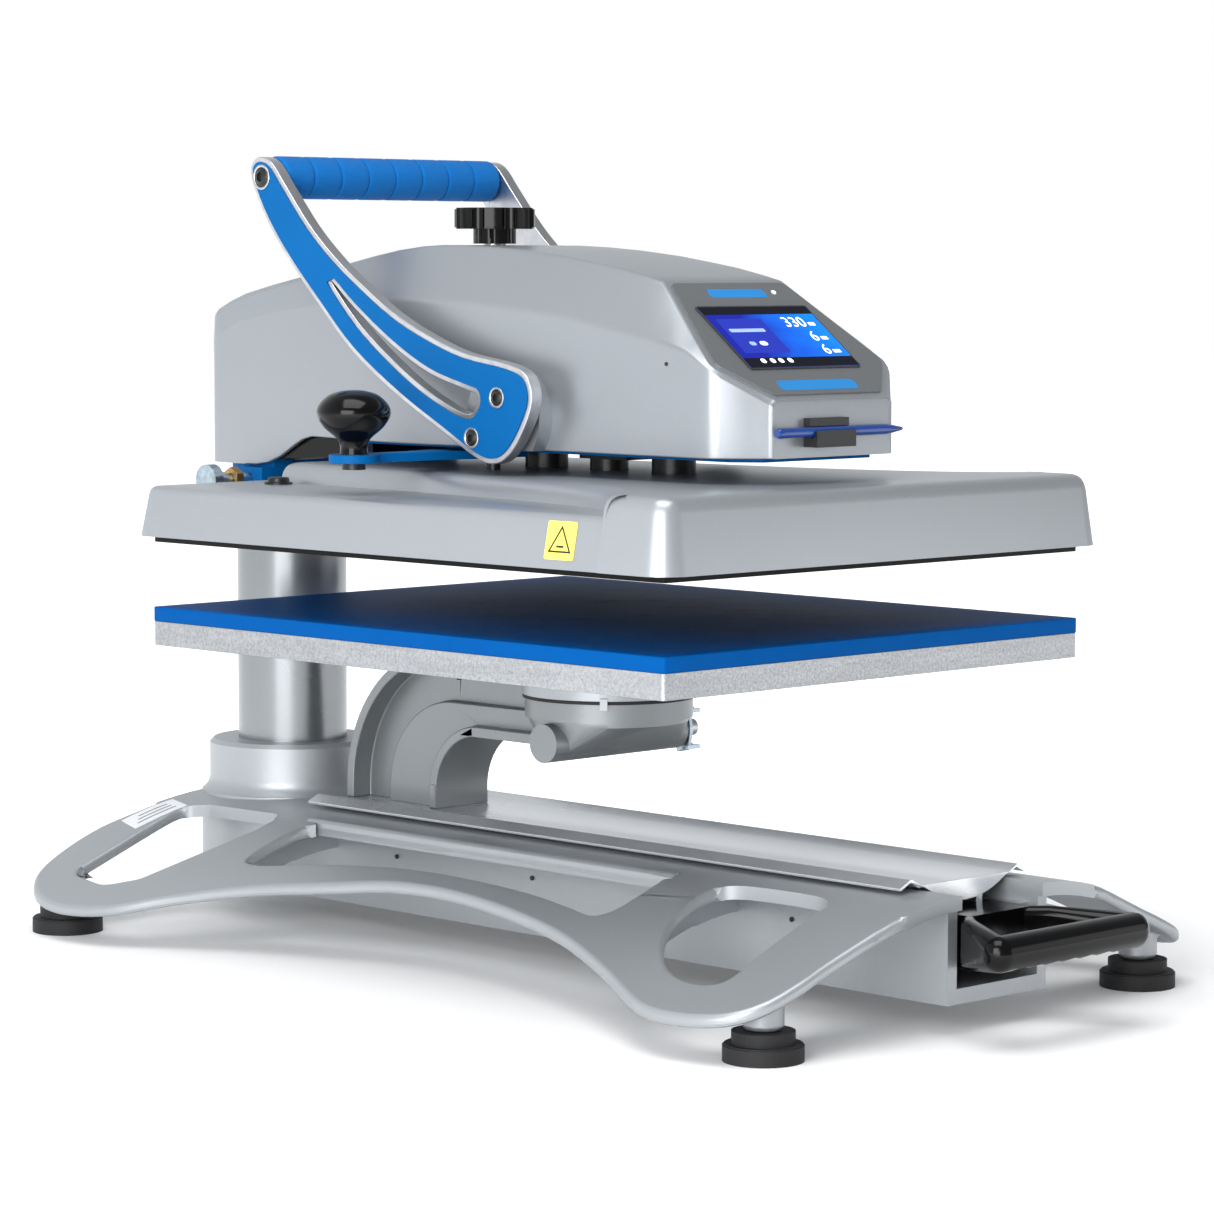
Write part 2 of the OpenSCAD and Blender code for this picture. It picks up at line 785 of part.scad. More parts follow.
// Moves the children onto the sloping panel, with Y running up the slope.
module on_panel() {
  translate([0, panel_front, panel_low]) rotate([panel_slope, 0, 0]) children();
}

module control_panel() {
  outline = rounded(
    [[-52, 3], [52, 3], [81.5, 35], [55, 120], [-55, 120], [-81.5, 35]],
    [6, 6, 8, 6, 6, 8], 5);
  color(body_grey) placed() on_panel() linear_extrude(1.4) polygon(outline);
}

module touch_screen() {
  color([0.02, 0.05, 0.25]) placed() on_panel() translate([0, 0, 1.4]) linear_extrude(1)
    polygon(rounded_all(box_points(-54, 28, 54, 94), 2, 4));
}

pen_y = 37;
pen_z = 379;

module pen_holder() {
  color(black) placed() difference() {
    block([-29, pen_y - 5.5, pen_z - 10], [9, 44, pen_z + 9]);
    rod_x(3.8, -40, 40, pen_y, pen_z);
    block([-30, pen_y - 8, pen_z + 1], [10, pen_y + 1, pen_z + 12]);
  }
}

module pen() {
  color([0.05, 0.12, 0.35]) placed() translate([0, pen_y, pen_z]) rotate([0, 90, 0]) rotate_extrude()
    polygon([[0, -62], [2.4, -62], [3.4, -60], [3.5, 44], [2.8, 50], [1.2, 60], [0, 62]]);
}

module controller_board() {
  color([0.1, 0.35, 0.2]) placed() {
    block([-45, 92, 385], [45, 150, 386.6]);
    block([-30, 100, 386.6], [-6, 122, 398]);
    block([8, 104, 386.6], [34, 120, 394]);
    for (x = [-40, 40]) rod_z(3, x, 121, floor_high, 385);
  }
}

rocker_x = 53;

module power_inlet() {
  color(black) placed() difference() {
    union() {
      block([48, 556.5, 388.5], [60, 583.5, 407.5]);
      block([60, 554, 386], [62, 586, 410]);
      // Frame that holds the switch's pin
      block([45, 556.5, 407.5], [56.2, 576.5, 432.5]);
    }
    block([52, 560, 391], [70, 580, 405]);
    block([49, 555, 415.6], [58, 578, 428.4]);
    rod_z(2 + running_fit, rocker_x, ear_y - 0.5, 410, 431);
  }
}

module power_switch() {
  color(black) placed() translate([0, ear_y - 0.5, 0]) {
    block([rocker_x - 2, -9, 416.5], [63, 9, 427.5]);
    rod_z(2, rocker_x, 0, 411, 430.5);
  }
}

module shaft_bushes() {
  color(bronze) placed() both_sides() difference() {
    rod_x(15, cheek_in - 8, cheek_out + 2, shaft_y, shaft_z);
    rod_x(shaft_r + running_fit, cheek_in - 10, cheek_out + 4, shaft_y, shaft_z);
  }
}

module guide_bushes() {
  color(bronze) placed() for (y = post_ys) difference() {
    rod_z(post_bush_r, 0, y, floor_low, 396);
    rod_z(post_r + running_fit, 0, y, floor_low - 1, 397);
  }
}

spindle_r = 8;

module adjuster_block() {
  color(steel) placed() difference() {
    block([-18, knob_y - 18, floor_high], [18, knob_y + 18, 430]);
    rod_z(spindle_r + running_fit, 0, knob_y, 380, 440);
  }
}

module tension_knob() {
  color(steel) placed() {
    rod_x(11.5, -107, -99, ear_y, ear_z);
    rod_x(6, -99, -92, ear_y, ear_z);
    rod_x(4, -92, -46, ear_y, ear_z);
  }
}

// ---------------------------------------------------------------- lever

arm_outline = smooth([
  [504, 552], [491, 525], [466, 494], [430, 459], [393, 426], [345, 396], [300, 373],
  [268, 357], [250, 353], [235, 359], [221, 376], [212, 396], [217, 413], [236, 421],
  [280, 428], [318, 440], [353, 455], [390, 477], [415, 494], [440, 515], [466, 543],
  [482, 560], [497, 563]
], 4);
arm_slot = smooth([
  [417, 476], [392, 457], [353, 432], [314, 413], [276, 402.5], [266, 399.5], [266.5, 391.5],
  [278, 386.5], [316, 401], [353, 422], [388, 447]
], 4);
lever_top = [490.5, 549];
lever_foot = [[245, 398], [270, 370]];
hub_face = 100.5;
grip_r = 10;
crank_in = 9.5;
crank_out = 17;

module arm_plate(shrink) {
  difference() {
    polygon(inset(reversed(arm_outline), shrink));
    polygon(inset(arm_slot, -shrink));
  }
}

// One lever arm, drilled for its screws.
module lever_arm(side) {
  x0 = side > 0 ? arm_in : -arm_in - arm_t;
  color(steel) placed() difference() {
    plate_x(x0, x0 + arm_t) arm_plate(0);
    for (spot = concat([lever_top], lever_foot))
      rod_x(4 + running_fit, x0 - 1, x0 + arm_t + 1, spot[0], spot[1]);
  }
}

module left_arm() {
  lever_arm(-1);
}

module right_arm() {
  lever_arm(1);
}

module arm_facings() {
  color(press_blue) placed() both_sides() difference() {
    plate_x(arm_in + arm_t, arm_in + arm_t + 1) arm_plate(3.6);
    rod_x(7.4, arm_in, arm_in + arm_t + 2, lever_top[0], lever_top[1]);
    for (spot = lever_foot) rod_x(5.8, arm_in, arm_in + arm_t + 2, spot[0], spot[1]);
  }
}

module lever_screws() {
  color(black) placed() both_sides() {
    translate([arm_in + arm_t, lever_top[0], lever_top[1]]) rotate([0, 90, 0])
      socket_screw(7, 3.6, 4, 14);
    for (spot = lever_foot) translate([arm_in + arm_t, spot[0], spot[1]]) rotate([0, 90, 0])
      socket_screw(5.4, 3, 4, 14);
  }
}

module pivot_shaft() {
  color(steel) placed() difference() {
    union() {
      // Two stubs, joined through the crank
      both_sides() rod_x(shaft_r, crank_in, arm_in, shaft_y, shaft_z);
      both_sides() rod_x(23, hub_face, arm_in, shaft_y, shaft_z);
    }
    for (side = [-1, 1]) for (spot = lever_foot)
      rod_x(4 + running_fit, side * arm_in - 5, side * arm_in + 5, spot[0], spot[1]);
  }
}

module grip_tube() {
  color(steel) placed() difference() {
    rod_x(grip_r, -arm_in, arm_in, lever_top[0], lever_top[1]);
    for (side = [-1, 1])
      rod_x(4 + running_fit, side * arm_in - 8, side * arm_in + 8, lever_top[0], lever_top[1]);
  }
}

module foam_grip() {
  color(press_blue) placed() difference() {
    rod_x(foam_r, 1 - arm_in, arm_in - 1, lever_top[0], lever_top[1]);
    rod_x(grip_r, -arm_in, arm_in, lever_top[0], lever_top[1]);
  }
}

crank_pin = [shaft_y + crank_r * cos(crank_open), shaft_z + crank_r * sin(crank_open)];

module crank() {
  color(steel) placed() {
    both_sides() difference() {
      union() {
        rod_x(14, crank_in, crank_out + 3, shaft_y, shaft_z);
        hull() {
          rod_x(14, crank_in, crank_out, shaft_y, shaft_z, $fn = 32);
          rod_x(11, crank_in, crank_out, crank_pin[0], crank_pin[1], $fn = 32);
        }
      }
      rod_x(shaft_r, 0, 30, shaft_y, shaft_z);
      rod_x(6, 0, 30, crank_pin[0], crank_pin[1]);
    }
    rod_x(6, -crank_out, crank_out, crank_pin[0], crank_pin[1]);
  }
}

link_slot_y = 12;
link_slot_z = 7.6;

module toggle_link() {
  foot = [crank_pin[0], crank_pin[1] - link_l];
  color(steel) placed() difference() {
    union() {
      rod_x(12, -8.5, 8.5, crank_pin[0], crank_pin[1]);
      block([-8.5, foot[0] - 9, foot[1]], [8.5, foot[0] + 9, crank_pin[1]]);
      block([-8.5, foot[0] - 15, foot[1] - 12], [8.5, foot[0] + 15, foot[1] + 12]);
    }
    rod_x(6 + running_fit, -10, 10, crank_pin[0], crank_pin[1]);
    block([-10, foot[0] - link_slot_y, foot[1] - link_slot_z], [10, foot[0] + link_slot_y, foot[1] + link_slot_z]);
  }
}

// ---------------------------------------------------------------- heat platen

heat_bottom = pad_top + open_gap;
heat_top = heat_bottom + heat_t;
cover_bottom = heat_bottom + 4.6;
tube_r = 3.5;
tube_xs = [-160, -96, -32, 32, 96, 160];
tube_front = 60;
tube_back = platen_d - 60;
stand_offs = [[-64, 120], [64, 120], [-64, 388], [64, 388]];
bolt_spots = [[-124, 464], [124, 464]];
spider_low = heat_top + 8.5;
spider_high = heat_top + 18.5;
cover_wall = 4;

module heat_plate() {
  color(steel) placed() platen_slab(heat_bottom, heat_top, 0, 4);
}

module heater_element() {
  z = heat_top + tube_r;
  bend_r = (tube_xs[1] - tube_xs[0]) / 2;
  color(bronze) placed() {
    for (x = tube_xs) translate([x, tube_front, z]) rotate([-90, 0, 0])
      cylinder(r = tube_r, h = tube_back - tube_front);
    for (i = [0:len(tube_xs) - 2]) {
      back = i % 2 == 0;
      translate([tube_xs[i] + bend_r, back ? tube_back : tube_front, z])
        rotate([0, 0, back ? 0 : 180]) rotate_extrude(angle = 180) translate([bend_r, 0]) circle(r = tube_r);
    }
  }
}

module pressure_plate() {
  color(cast_grey) placed() {
    block([-90, 96, spider_low], [90, 412, spider_high]);
    for (spot = stand_offs) rod_z(12, spot[0], spot[1], heat_top, spider_low);
    for (spot = bolt_spots) rod_z(9, spot[0], spot[1], heat_top, cover_low - cover_wall);
  }
}

cover_half = platen_w / 2 + cover_over;
cover_plan = rounded_all(
  box_points(-cover_half, -cover_over, cover_half, platen_d + cover_over), cover_corner, 8);
// Outline of the raised part: narrow behind, and a little prouder than the cover in front
proud = 1.6;
raised_plan = mirrored(concat(
  smooth_open([
    [-96, 494], [-108, 487], [-114, 472], [-117, 400], [-122, 320], [-131, 240], [-145, 160],
    [-162, 108], [-182, 74], [-202, 55], [-cover_half - proud, 46]
  ], 4),
  arc([cover_corner - cover_half - proud, cover_corner - cover_over - proud], cover_corner, 180, 270, 8)
));

// Outline of the hollow under the raised part
raised_inside = [
  [-90, 474], [-98, 460], [-98, 390], [-106, 290], [-124, 190], [-146, 110], [-176, 46],
  [-190, 34], [-196, 10]
];

// Steps of a drafted side with a rounded top edge: a share of the height, and how far in
low_draft = [[0, 0], [0.86, 6], [0.93, 7], [0.975, 8.6], [1, 11]];
high_draft = [[0, 0], [0.79, 5.6], [0.87, 6.8], [0.93, 8.6], [0.97, 11], [0.992, 14], [1, 17]];

function drafted(plan, top, steps) =
  [for (step = steps) at_z(inset(plan, step[1]), cover_bottom + (top - cover_bottom) * step[0])];

module platen_cover() {
  color(body_grey) placed() difference() {
    shell() difference() {
      union() {
        loft(drafted(cover_plan, cover_low, low_draft));
        loft(drafted(raised_plan, cover_high, high_draft));
      }
      platen_slab(cover_bottom - 1, cover_low - cover_wall, 0.6, 4);
      translate([0, 0, cover_low - cover_wall - 1]) linear_extrude(cover_high - cover_low + 1)
        polygon(mirrored(raised_inside));
    }
    for (y = post_ys) rod_z(post_r + 0.5, 0, y, 300, 400);
    rod_z(14, 0, platen_mid, 300, 400);
    for (spot = rod_spots) rod_z(5, spot[0], spot[1], 300, 400);
    for (spot = bolt_spots) rod_z(4.2, spot[0], spot[1], 300, 400);
  }
}

module guide_posts() {
  color(black) placed() for (y = post_ys) rod_z(post_r, 0, y, spider_high, 446);
}

block_pin = [shaft_y - crank_r * (1 + cos(180 - crank_open)) / 2, crank_pin[1] - link_l];

module press_block() {
  color(steel) placed() {
    rod_z(13.5, 0, platen_mid, spider_high, block_pin[1] - 14);
    block([-17.5, block_pin[0] - 12, block_pin[1] - 19.5], [17.5, platen_mid + 12, block_pin[1] - 13.5]);
    both_sides() block([9, block_pin[0] - 10, block_pin[1] - 14], [17.5, block_pin[0] + 8, block_pin[1] + 7.5]);
    rod_x(6, -17.5, 17.5, block_pin[0], block_pin[1]);
  }
}

module return_rods() {
  color(steel) placed() for (spot = rod_spots) {
    rod_z(4.7, spot[0], spot[1], spider_high, 424);
    rod_z(7.5, spot[0], spot[1], 424, 429);
  }
}

module cover_bolts() {
  color(black) placed() for (spot = bolt_spots) translate([spot[0], spot[1], cover_low]) {
    rotate_extrude() polygon([[0, 0], [10, 0], [10, 1.4], [8, 1.8], [7.6, 4.4], [6.6, 5], [0, 5]]);
    translate([0, 0, -4]) cylinder(r = 4, h = 4);
  }
}

// ---------------------------------------------------------------- pressure knob

lobes = 8;

module pressure_knob() {
  color(black) placed() translate([0, knob_y, 0]) {
    difference() {
      union() {
        rod_z(knob_r, 0, 0, 513.5, 526.5);
        rod_z(knob_r - 1.2, 0, 0, 512.5, 527.5);
        rod_z(15.4, 0, 0, 502, 513);
      }
      for (i = [0:lobes - 1]) rotate([0, 0, (i + 0.5) * 360 / lobes])
        rod_z(5.4, knob_r + 1.8, 0, 500, 530);
      for (i = [0:lobes - 1]) rotate([0, 0, i * 360 / lobes])
        rod_z(2.8, 16.6, 0, 500, 512.4);
    }
  }
}

module knob_spindle() {
  color(steel) placed() rod_z(spindle_r, 0, knob_y, 382, 502);
}

base_casting();
column();
foot_pads();
foot_stems();
fixed_rails();
rail_screws();
sled();
runners();
tray_cover();
carriage_screws();
c_arm();
receiver();
gasket_ring();
platen_hub();
lower_platen();
silicone_pad();
draw_handle();
latch_shaft();
latch_plate();
swing_arm();
column_bushes();
clamp_nut();
swing_handle_arm();
swing_knob();
swing_knob_bolt();
housing();
housing_screws();
control_panel();
touch_screen();
pen_holder();
controller_board();
power_inlet();
shaft_bushes();
guide_bushes();
adjuster_block();
tension_knob();
pen();
power_switch();
pivot_shaft();
left_arm();
right_arm();
arm_facings();
grip_tube();
foam_grip();
lever_screws();
crank();
toggle_link();
heat_plate();
heater_element();
pressure_plate();
platen_cover();
guide_posts();
press_block();
return_rods();
cover_bolts();
pressure_knob();
knob_spindle();
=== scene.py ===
"""Looks of the heat press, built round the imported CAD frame. Metres, row frame."""
import json
import math

import bmesh
import bpy
from mathutils import Matrix, Vector
from mathutils.bvhtree import BVHTree


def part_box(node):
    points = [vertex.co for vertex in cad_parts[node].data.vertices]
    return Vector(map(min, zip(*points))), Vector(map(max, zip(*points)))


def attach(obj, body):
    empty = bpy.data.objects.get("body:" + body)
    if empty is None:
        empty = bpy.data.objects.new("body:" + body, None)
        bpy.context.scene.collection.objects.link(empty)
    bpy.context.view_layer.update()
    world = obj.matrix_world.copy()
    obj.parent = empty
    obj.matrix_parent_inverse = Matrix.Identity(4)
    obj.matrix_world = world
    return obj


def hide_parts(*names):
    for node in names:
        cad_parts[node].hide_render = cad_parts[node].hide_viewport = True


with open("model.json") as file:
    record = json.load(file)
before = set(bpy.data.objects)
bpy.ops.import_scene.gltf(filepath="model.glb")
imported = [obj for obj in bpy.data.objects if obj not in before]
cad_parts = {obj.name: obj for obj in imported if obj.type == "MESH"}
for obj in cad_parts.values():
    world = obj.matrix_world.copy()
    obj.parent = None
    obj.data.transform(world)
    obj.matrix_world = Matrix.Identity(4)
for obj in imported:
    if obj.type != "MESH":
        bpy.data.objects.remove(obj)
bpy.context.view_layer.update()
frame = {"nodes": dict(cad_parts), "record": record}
scene = bpy.context.scene
MM = 0.001
MIDDLE_Y = 248.0  # the front edge of the platens lies this far in front of the origin, in mm


def place(x, y, z):
    """A point given in mm from the front edge of the platens, in the row frame in metres."""
    return Vector((x * MM, (y - MIDDLE_Y) * MM, z * MM))


# ---------------------------------------------------------------- camera and light

AZIMUTH = math.radians(-44.66)
ELEVATION = math.radians(4.94)
ROLL = math.radians(0.12)
CAMERA_AT = (-1.9923, -2.0080, 0.4938)
back = Vector((
    math.sin(AZIMUTH) * math.cos(ELEVATION),
    -math.cos(AZIMUTH) * math.cos(ELEVATION),
    math.sin(ELEVATION),
))
right = Vector((0, 0, 1)).cross(back).normalized()
up = back.cross(right)
camera_data = bpy.data.cameras.new("camera")
camera_data.lens = 120.6
camera_data.sensor_width = 36
camera_data.clip_start = 0.05
camera_data.clip_end = 60
camera = bpy.data.objects.new("camera", camera_data)
turned = Matrix((right, up, back)).transposed() @ Matrix.Rotation(ROLL, 3, "Z")
camera.matrix_world = Matrix.Translation(CAMERA_AT) @ turned.to_4x4()
scene.collection.objects.link(camera)
scene.camera = camera
scene.view_settings.view_transform = "Standard"

# The room grows brighter along one direction, between two values of the dot product with it
BRIGHT_SIDE = (-0.2, 0.55, -0.6)
ROOM_LEVELS = {"From Min": -0.6, "From Max": 0.5, "To Min": 0.26, "To Max": 1.12}


def studio_world():
    """White behind the object, and a soft room round it that is brighter on one side."""
    world = bpy.data.worlds.new("world")
    scene.world = world
    world.use_nodes = True
    tree = world.node_tree
    room = tree.nodes["Background"]
    room.inputs["Color"].default_value = (0.95, 0.98, 1.0, 1)
    way = tree.nodes.new("ShaderNodeTexCoord")
    facing = tree.nodes.new("ShaderNodeVectorMath")
    facing.operation = "DOT_PRODUCT"
    facing.inputs[1].default_value = BRIGHT_SIDE
    level = tree.nodes.new("ShaderNodeMapRange")
    for key, value in ROOM_LEVELS.items():
        level.inputs[key].default_value = value
    backdrop = tree.nodes.new("ShaderNodeBackground")
    backdrop.inputs["Color"].default_value = (1, 1, 1, 1)
    path = tree.nodes.new("ShaderNodeLightPath")
    seen = tree.nodes.new("ShaderNodeMixShader")
    tree.links.new(way.outputs["Generated"], facing.inputs[0])
    tree.links.new(facing.outputs["Value"], level.inputs["Value"])
    tree.links.new(level.outputs["Result"], room.inputs["Strength"])
    tree.links.new(path.outputs["Is Camera Ray"], seen.inputs["Fac"])
    tree.links.new(room.outputs["Background"], seen.inputs[1])
    tree.links.new(backdrop.outputs["Background"], seen.inputs[2])
    tree.links.new(seen.outputs["Shader"], tree.nodes["World Output"].inputs["Surface"])


studio_world()


def softbox(name, at, aim, width, height, watts):
    """A large soft area light."""
    data = bpy.data.lights.new(name, "AREA")
    data.shape = "RECTANGLE"
    data.size = width
    data.size_y = height
    data.energy = watts
    lamp = bpy.data.objects.new(name, data)
    way = (Vector(at) - Vector(aim)).normalized()
    lamp.matrix_world = Matrix.Translation(at) @ way.to_track_quat("Z", "Y").to_matrix().to_4x4()
    scene.collection.objects.link(lamp)


softbox("key", (-2.3, -1.1, 0.8), (0, 0, 0.25), 1.7, 1.5, 56)
softbox("top", (-0.7, -0.5, 2.7), (0, 0, 0.3), 2.0, 2.0, 56)
softbox("front", (2.0, -2.3, 0.6), (0, 0, 0.3), 1.6, 1.0, 5)


# ---------------------------------------------------------------- materials

class Shader:
    """A small helper that wires one node material."""

    def __init__(self, name, **settings):
        self.material = bpy.data.materials.new(name)
        self.material.use_nodes = True
        self.tree = self.material.node_tree
        self.surface = self.tree.nodes["Principled BSDF"]
        self.coordinates = self.tree.nodes.new("ShaderNodeTexCoord")
        for key, value in settings.items():
            self.surface.inputs[key].default_value = value

    def node(self, kind, **inputs):
        made = self.tree.nodes.new(kind)
        for key, value in inputs.items():
            made.inputs[key].default_value = value
        return made

    def link(self, source, target):
        self.tree.links.new(source, target)

    def stretched(self, scale):
        """Object coordinates, scaled along each axis."""
        mapping = self.node("ShaderNodeMapping")
        mapping.inputs["Scale"].default_value = scale
        self.link(self.coordinates.outputs["Object"], mapping.inputs["Vector"])
        return mapping.outputs["Vector"]

    def noise(self, scale, detail=2.0, rough=0.5, stretch=(1, 1, 1)):
        made = self.node("ShaderNodeTexNoise", Scale=scale, Detail=detail, Roughness=rough)
        self.link(self.stretched(stretch), made.inputs["Vector"])
        return made.outputs["Fac"]

    def cells(self, scale):
        made = self.node("ShaderNodeTexVoronoi", Scale=scale)
        self.link(self.stretched((1, 1, 1)), made.inputs["Vector"])
        return made.outputs["Distance"]

    def spread(self, value, low, high, start=0.3, end=0.7):
        """A value remapped between two limits."""
        made = self.node("ShaderNodeMapRange")
        made.inputs["From Min"].default_value = start
        made.inputs["From Max"].default_value = end
        made.inputs["To Min"].default_value = low
        made.inputs["To Max"].default_value = high
        self.link(value, made.inputs["Value"])
        return made.outputs["Result"]

    def mixed(self, value, low, high):
        """A colour between two colours."""
        made = self.node("ShaderNodeMix")
        made.data_type = "RGBA"
        made.inputs[6].default_value = (*low, 1)
        made.inputs[7].default_value = (*high, 1)
        self.link(value, made.inputs["Factor"])
        return made.outputs[2]

    def colour(self, output):
        self.link(output, self.surface.inputs["Base Color"])

    def rough(self, output):
        self.link(output, self.surface.inputs["Roughness"])

    def bump(self, *layers):
        """Bump from (value, strength, depth in metres) layers, one over the other."""
        last = None
        for value, strength, depth in layers:
            made = self.node("ShaderNodeBump", Strength=strength, Distance=depth)
            self.link(value, made.inputs["Height"])
            if last:
                self.link(last, made.inputs["Normal"])
            last = made.outputs["Normal"]
        self.link(last, self.surface.inputs["Normal"])


def shade(colour, factor):
    return tuple(min(1.0, c * factor) for c in colour)


def metallic_paint(name, colour, roughness, metal, grain=0.10):
    """Fine metallic paint over a casting: a faint flake, slow tone changes, a slight orange peel."""
    s = Shader(name, Metallic=metal)
    slow = s.noise(7, 3)
    flake = s.noise(2600, 1, 0.6)
    s.colour(s.mixed(s.spread(flake, 0, 1, 0.35, 0.65), shade(colour, 0.95), shade(colour, 1.05)))
    s.rough(s.spread(slow, roughness - 0.02, roughness + 0.02))
    s.bump((s.noise(420, 2, 0.55), grain, 0.0004), (flake, 0.05, 0.0001))
    return s.material


def cast_metal(name, colour, roughness):
    """Bare cast aluminium with a rough speckled skin."""
    s = Shader(name, Metallic=1.0)
    grain = s.noise(520, 4, 0.72)
    pits = s.cells(760)
    streak = s.noise(60, 3, 0.6, (0.25, 0.25, 2.4))
    mixed = s.node("ShaderNodeMath")
    mixed.operation = "MULTIPLY"
    s.link(s.spread(grain, 0.35, 1, 0.36, 0.62), mixed.inputs[0])
    s.link(s.spread(streak, 0.7, 1.0, 0.35, 0.6), mixed.inputs[1])
    s.colour(s.mixed(mixed.outputs[0], shade(colour, 0.62), shade(colour, 1.1)))
    s.rough(s.spread(grain, roughness + 0.15, roughness - 0.08, 0.35, 0.65))
    s.bump((grain, 0.5, 0.0004), (pits, 0.25, 0.0003))
    return s.material


def brushed(name, colour, roughness, stretch=(1, 30, 30)):
    """Ground or drawn metal with fine lines along one direction."""
    s = Shader(name, Metallic=1.0)
    lines = s.noise(90, 3, 0.65, stretch)
    slow = s.noise(14, 3)
    s.colour(s.mixed(s.spread(lines, 0, 1), shade(colour, 0.84), shade(colour, 1.08)))
    s.rough(s.spread(slow, roughness - 0.05, roughness + 0.08))
    s.bump((lines, 0.08, 0.0002))
    return s.material


def zinc_plate(name, colour, roughness):
    """Bright plating with a mottled, slightly tinted bloom."""
    s = Shader(name, Metallic=1.0)
    bloom = s.noise(160, 4, 0.7)
    s.colour(s.mixed(s.spread(bloom, 0, 1), shade(colour, 0.62), shade(colour, 1.15)))
    s.rough(s.spread(bloom, roughness - 0.06, roughness + 0.12))
    s.bump((s.noise(700, 2), 0.12, 0.0002))
    return s.material


def powder_coat(name, colour, roughness, grain=0.14, coat=0.0, gloss=0.35):
    """Coloured powder coat or moulded plastic, with a fine even texture."""
    s = Shader(name, Metallic=0.0)
    s.surface.inputs["Specular IOR Level"].default_value = gloss
    s.surface.inputs["Coat Weight"].default_value = coat
    s.surface.inputs["Coat Roughness"].default_value = 0.05
    skin = s.noise(900, 2, 0.6)
    slow = s.noise(9, 3)
    s.colour(s.mixed(s.spread(slow, 0, 1), shade(colour, 0.94), shade(colour, 1.06)))
    s.rough(s.spread(skin, roughness - 0.03, roughness + 0.05))
    s.bump((skin, grain, 0.0003))
    return s.material


def foam_rubber(name, colour, cell_scale):
    """Soft foam with fine open cells and a faint sheen."""
    roughness, depth = 0.82, 0.0006
    s = Shader(name, Metallic=0.0)
    s.surface.inputs["Specular IOR Level"].default_value = 0.2
    s.surface.inputs["Sheen Weight"].default_value = 0.04
    s.surface.inputs["Sheen Roughness"].default_value = 0.5
    pores = s.cells(cell_scale)
    skin = s.noise(cell_scale * 0.6, 3, 0.65)
    s.colour(s.mixed(s.spread(skin, 0, 1), shade(colour, 0.82), shade(colour, 1.08)))
    s.rough(s.spread(skin, roughness - 0.05, roughness + 0.08))
    s.bump((pores, 0.25, depth), (skin, 0.3, depth))
    return s.material


def blotched_pad(name, colour):
    """Silicone sheet whose top is darker in noisy blotches within a soft patch near its middle."""
    s = Shader(name, Metallic=0.0)
    s.surface.inputs["Specular IOR Level"].default_value = 0.03
    place_centre = s.node("ShaderNodeMapping")
    place_centre.inputs["Location"].default_value = (-0.02, 0.03, 0)
    s.link(s.coordinates.outputs["Object"], place_centre.inputs["Vector"])
    patch = s.node("ShaderNodeVectorMath")
    patch.operation = "LENGTH"
    s.link(place_centre.outputs["Vector"], patch.inputs[0])
    near = s.spread(patch.outputs["Value"], 1, 0, 0.26, 0.34)
    blotches = s.spread(s.noise(26, 5, 0.7), 0, 1, 0.5, 0.74)
    both = s.node("ShaderNodeMath")
    both.operation = "MULTIPLY"
    s.link(near, both.inputs[0])
    s.link(blotches, both.inputs[1])
    skin = s.noise(1300, 2, 0.6)
    s.colour(s.mixed(both.outputs[0], colour, shade(colour, 0.35)))
    s.rough(s.spread(skin, 0.46, 0.6))
    s.bump((skin, 0.2, 0.0003), (s.noise(40, 3), 0.05, 0.002))
    return s.material


def flat_glow(name, colour, strength):
    """A lit part of the display."""
    s = Shader(name, Roughness=0.2)
    s.surface.inputs["Specular IOR Level"].default_value = 0.1
    s.surface.inputs["Base Color"].default_value = (*colour, 1)
    s.surface.inputs["Emission Color"].default_value = (*colour, 1)
    s.surface.inputs["Emission Strength"].default_value = strength
    return s.material


def screen_glow(name):
    """The display's picture area: deep blue that turns to a lighter blue towards its right."""
    s = Shader(name, Roughness=0.2)
    s.surface.inputs["Specular IOR Level"].default_value = 0.1
    across = s.node("ShaderNodeSeparateXYZ")
    s.link(s.coordinates.outputs["Object"], across.inputs["Vector"])
    sweep = s.node("ShaderNodeMath")
    sweep.operation = "MULTIPLY_ADD"
    s.link(s.noise(26, 2, 0.5, (1.0, 2.0, 2.0)), sweep.inputs[0])
    sweep.inputs[1].default_value = 0.05
    s.link(across.outputs["X"], sweep.inputs[2])
    tone = s.mixed(s.spread(sweep.outputs[0], 0, 1, 0.0, 0.075), (0.003, 0.008, 0.20), (0.0, 0.14, 0.72))
    s.colour(tone)
    s.link(tone, s.surface.inputs["Emission Color"])
    s.surface.inputs["Emission Strength"].default_value = 0.8
    return s.material


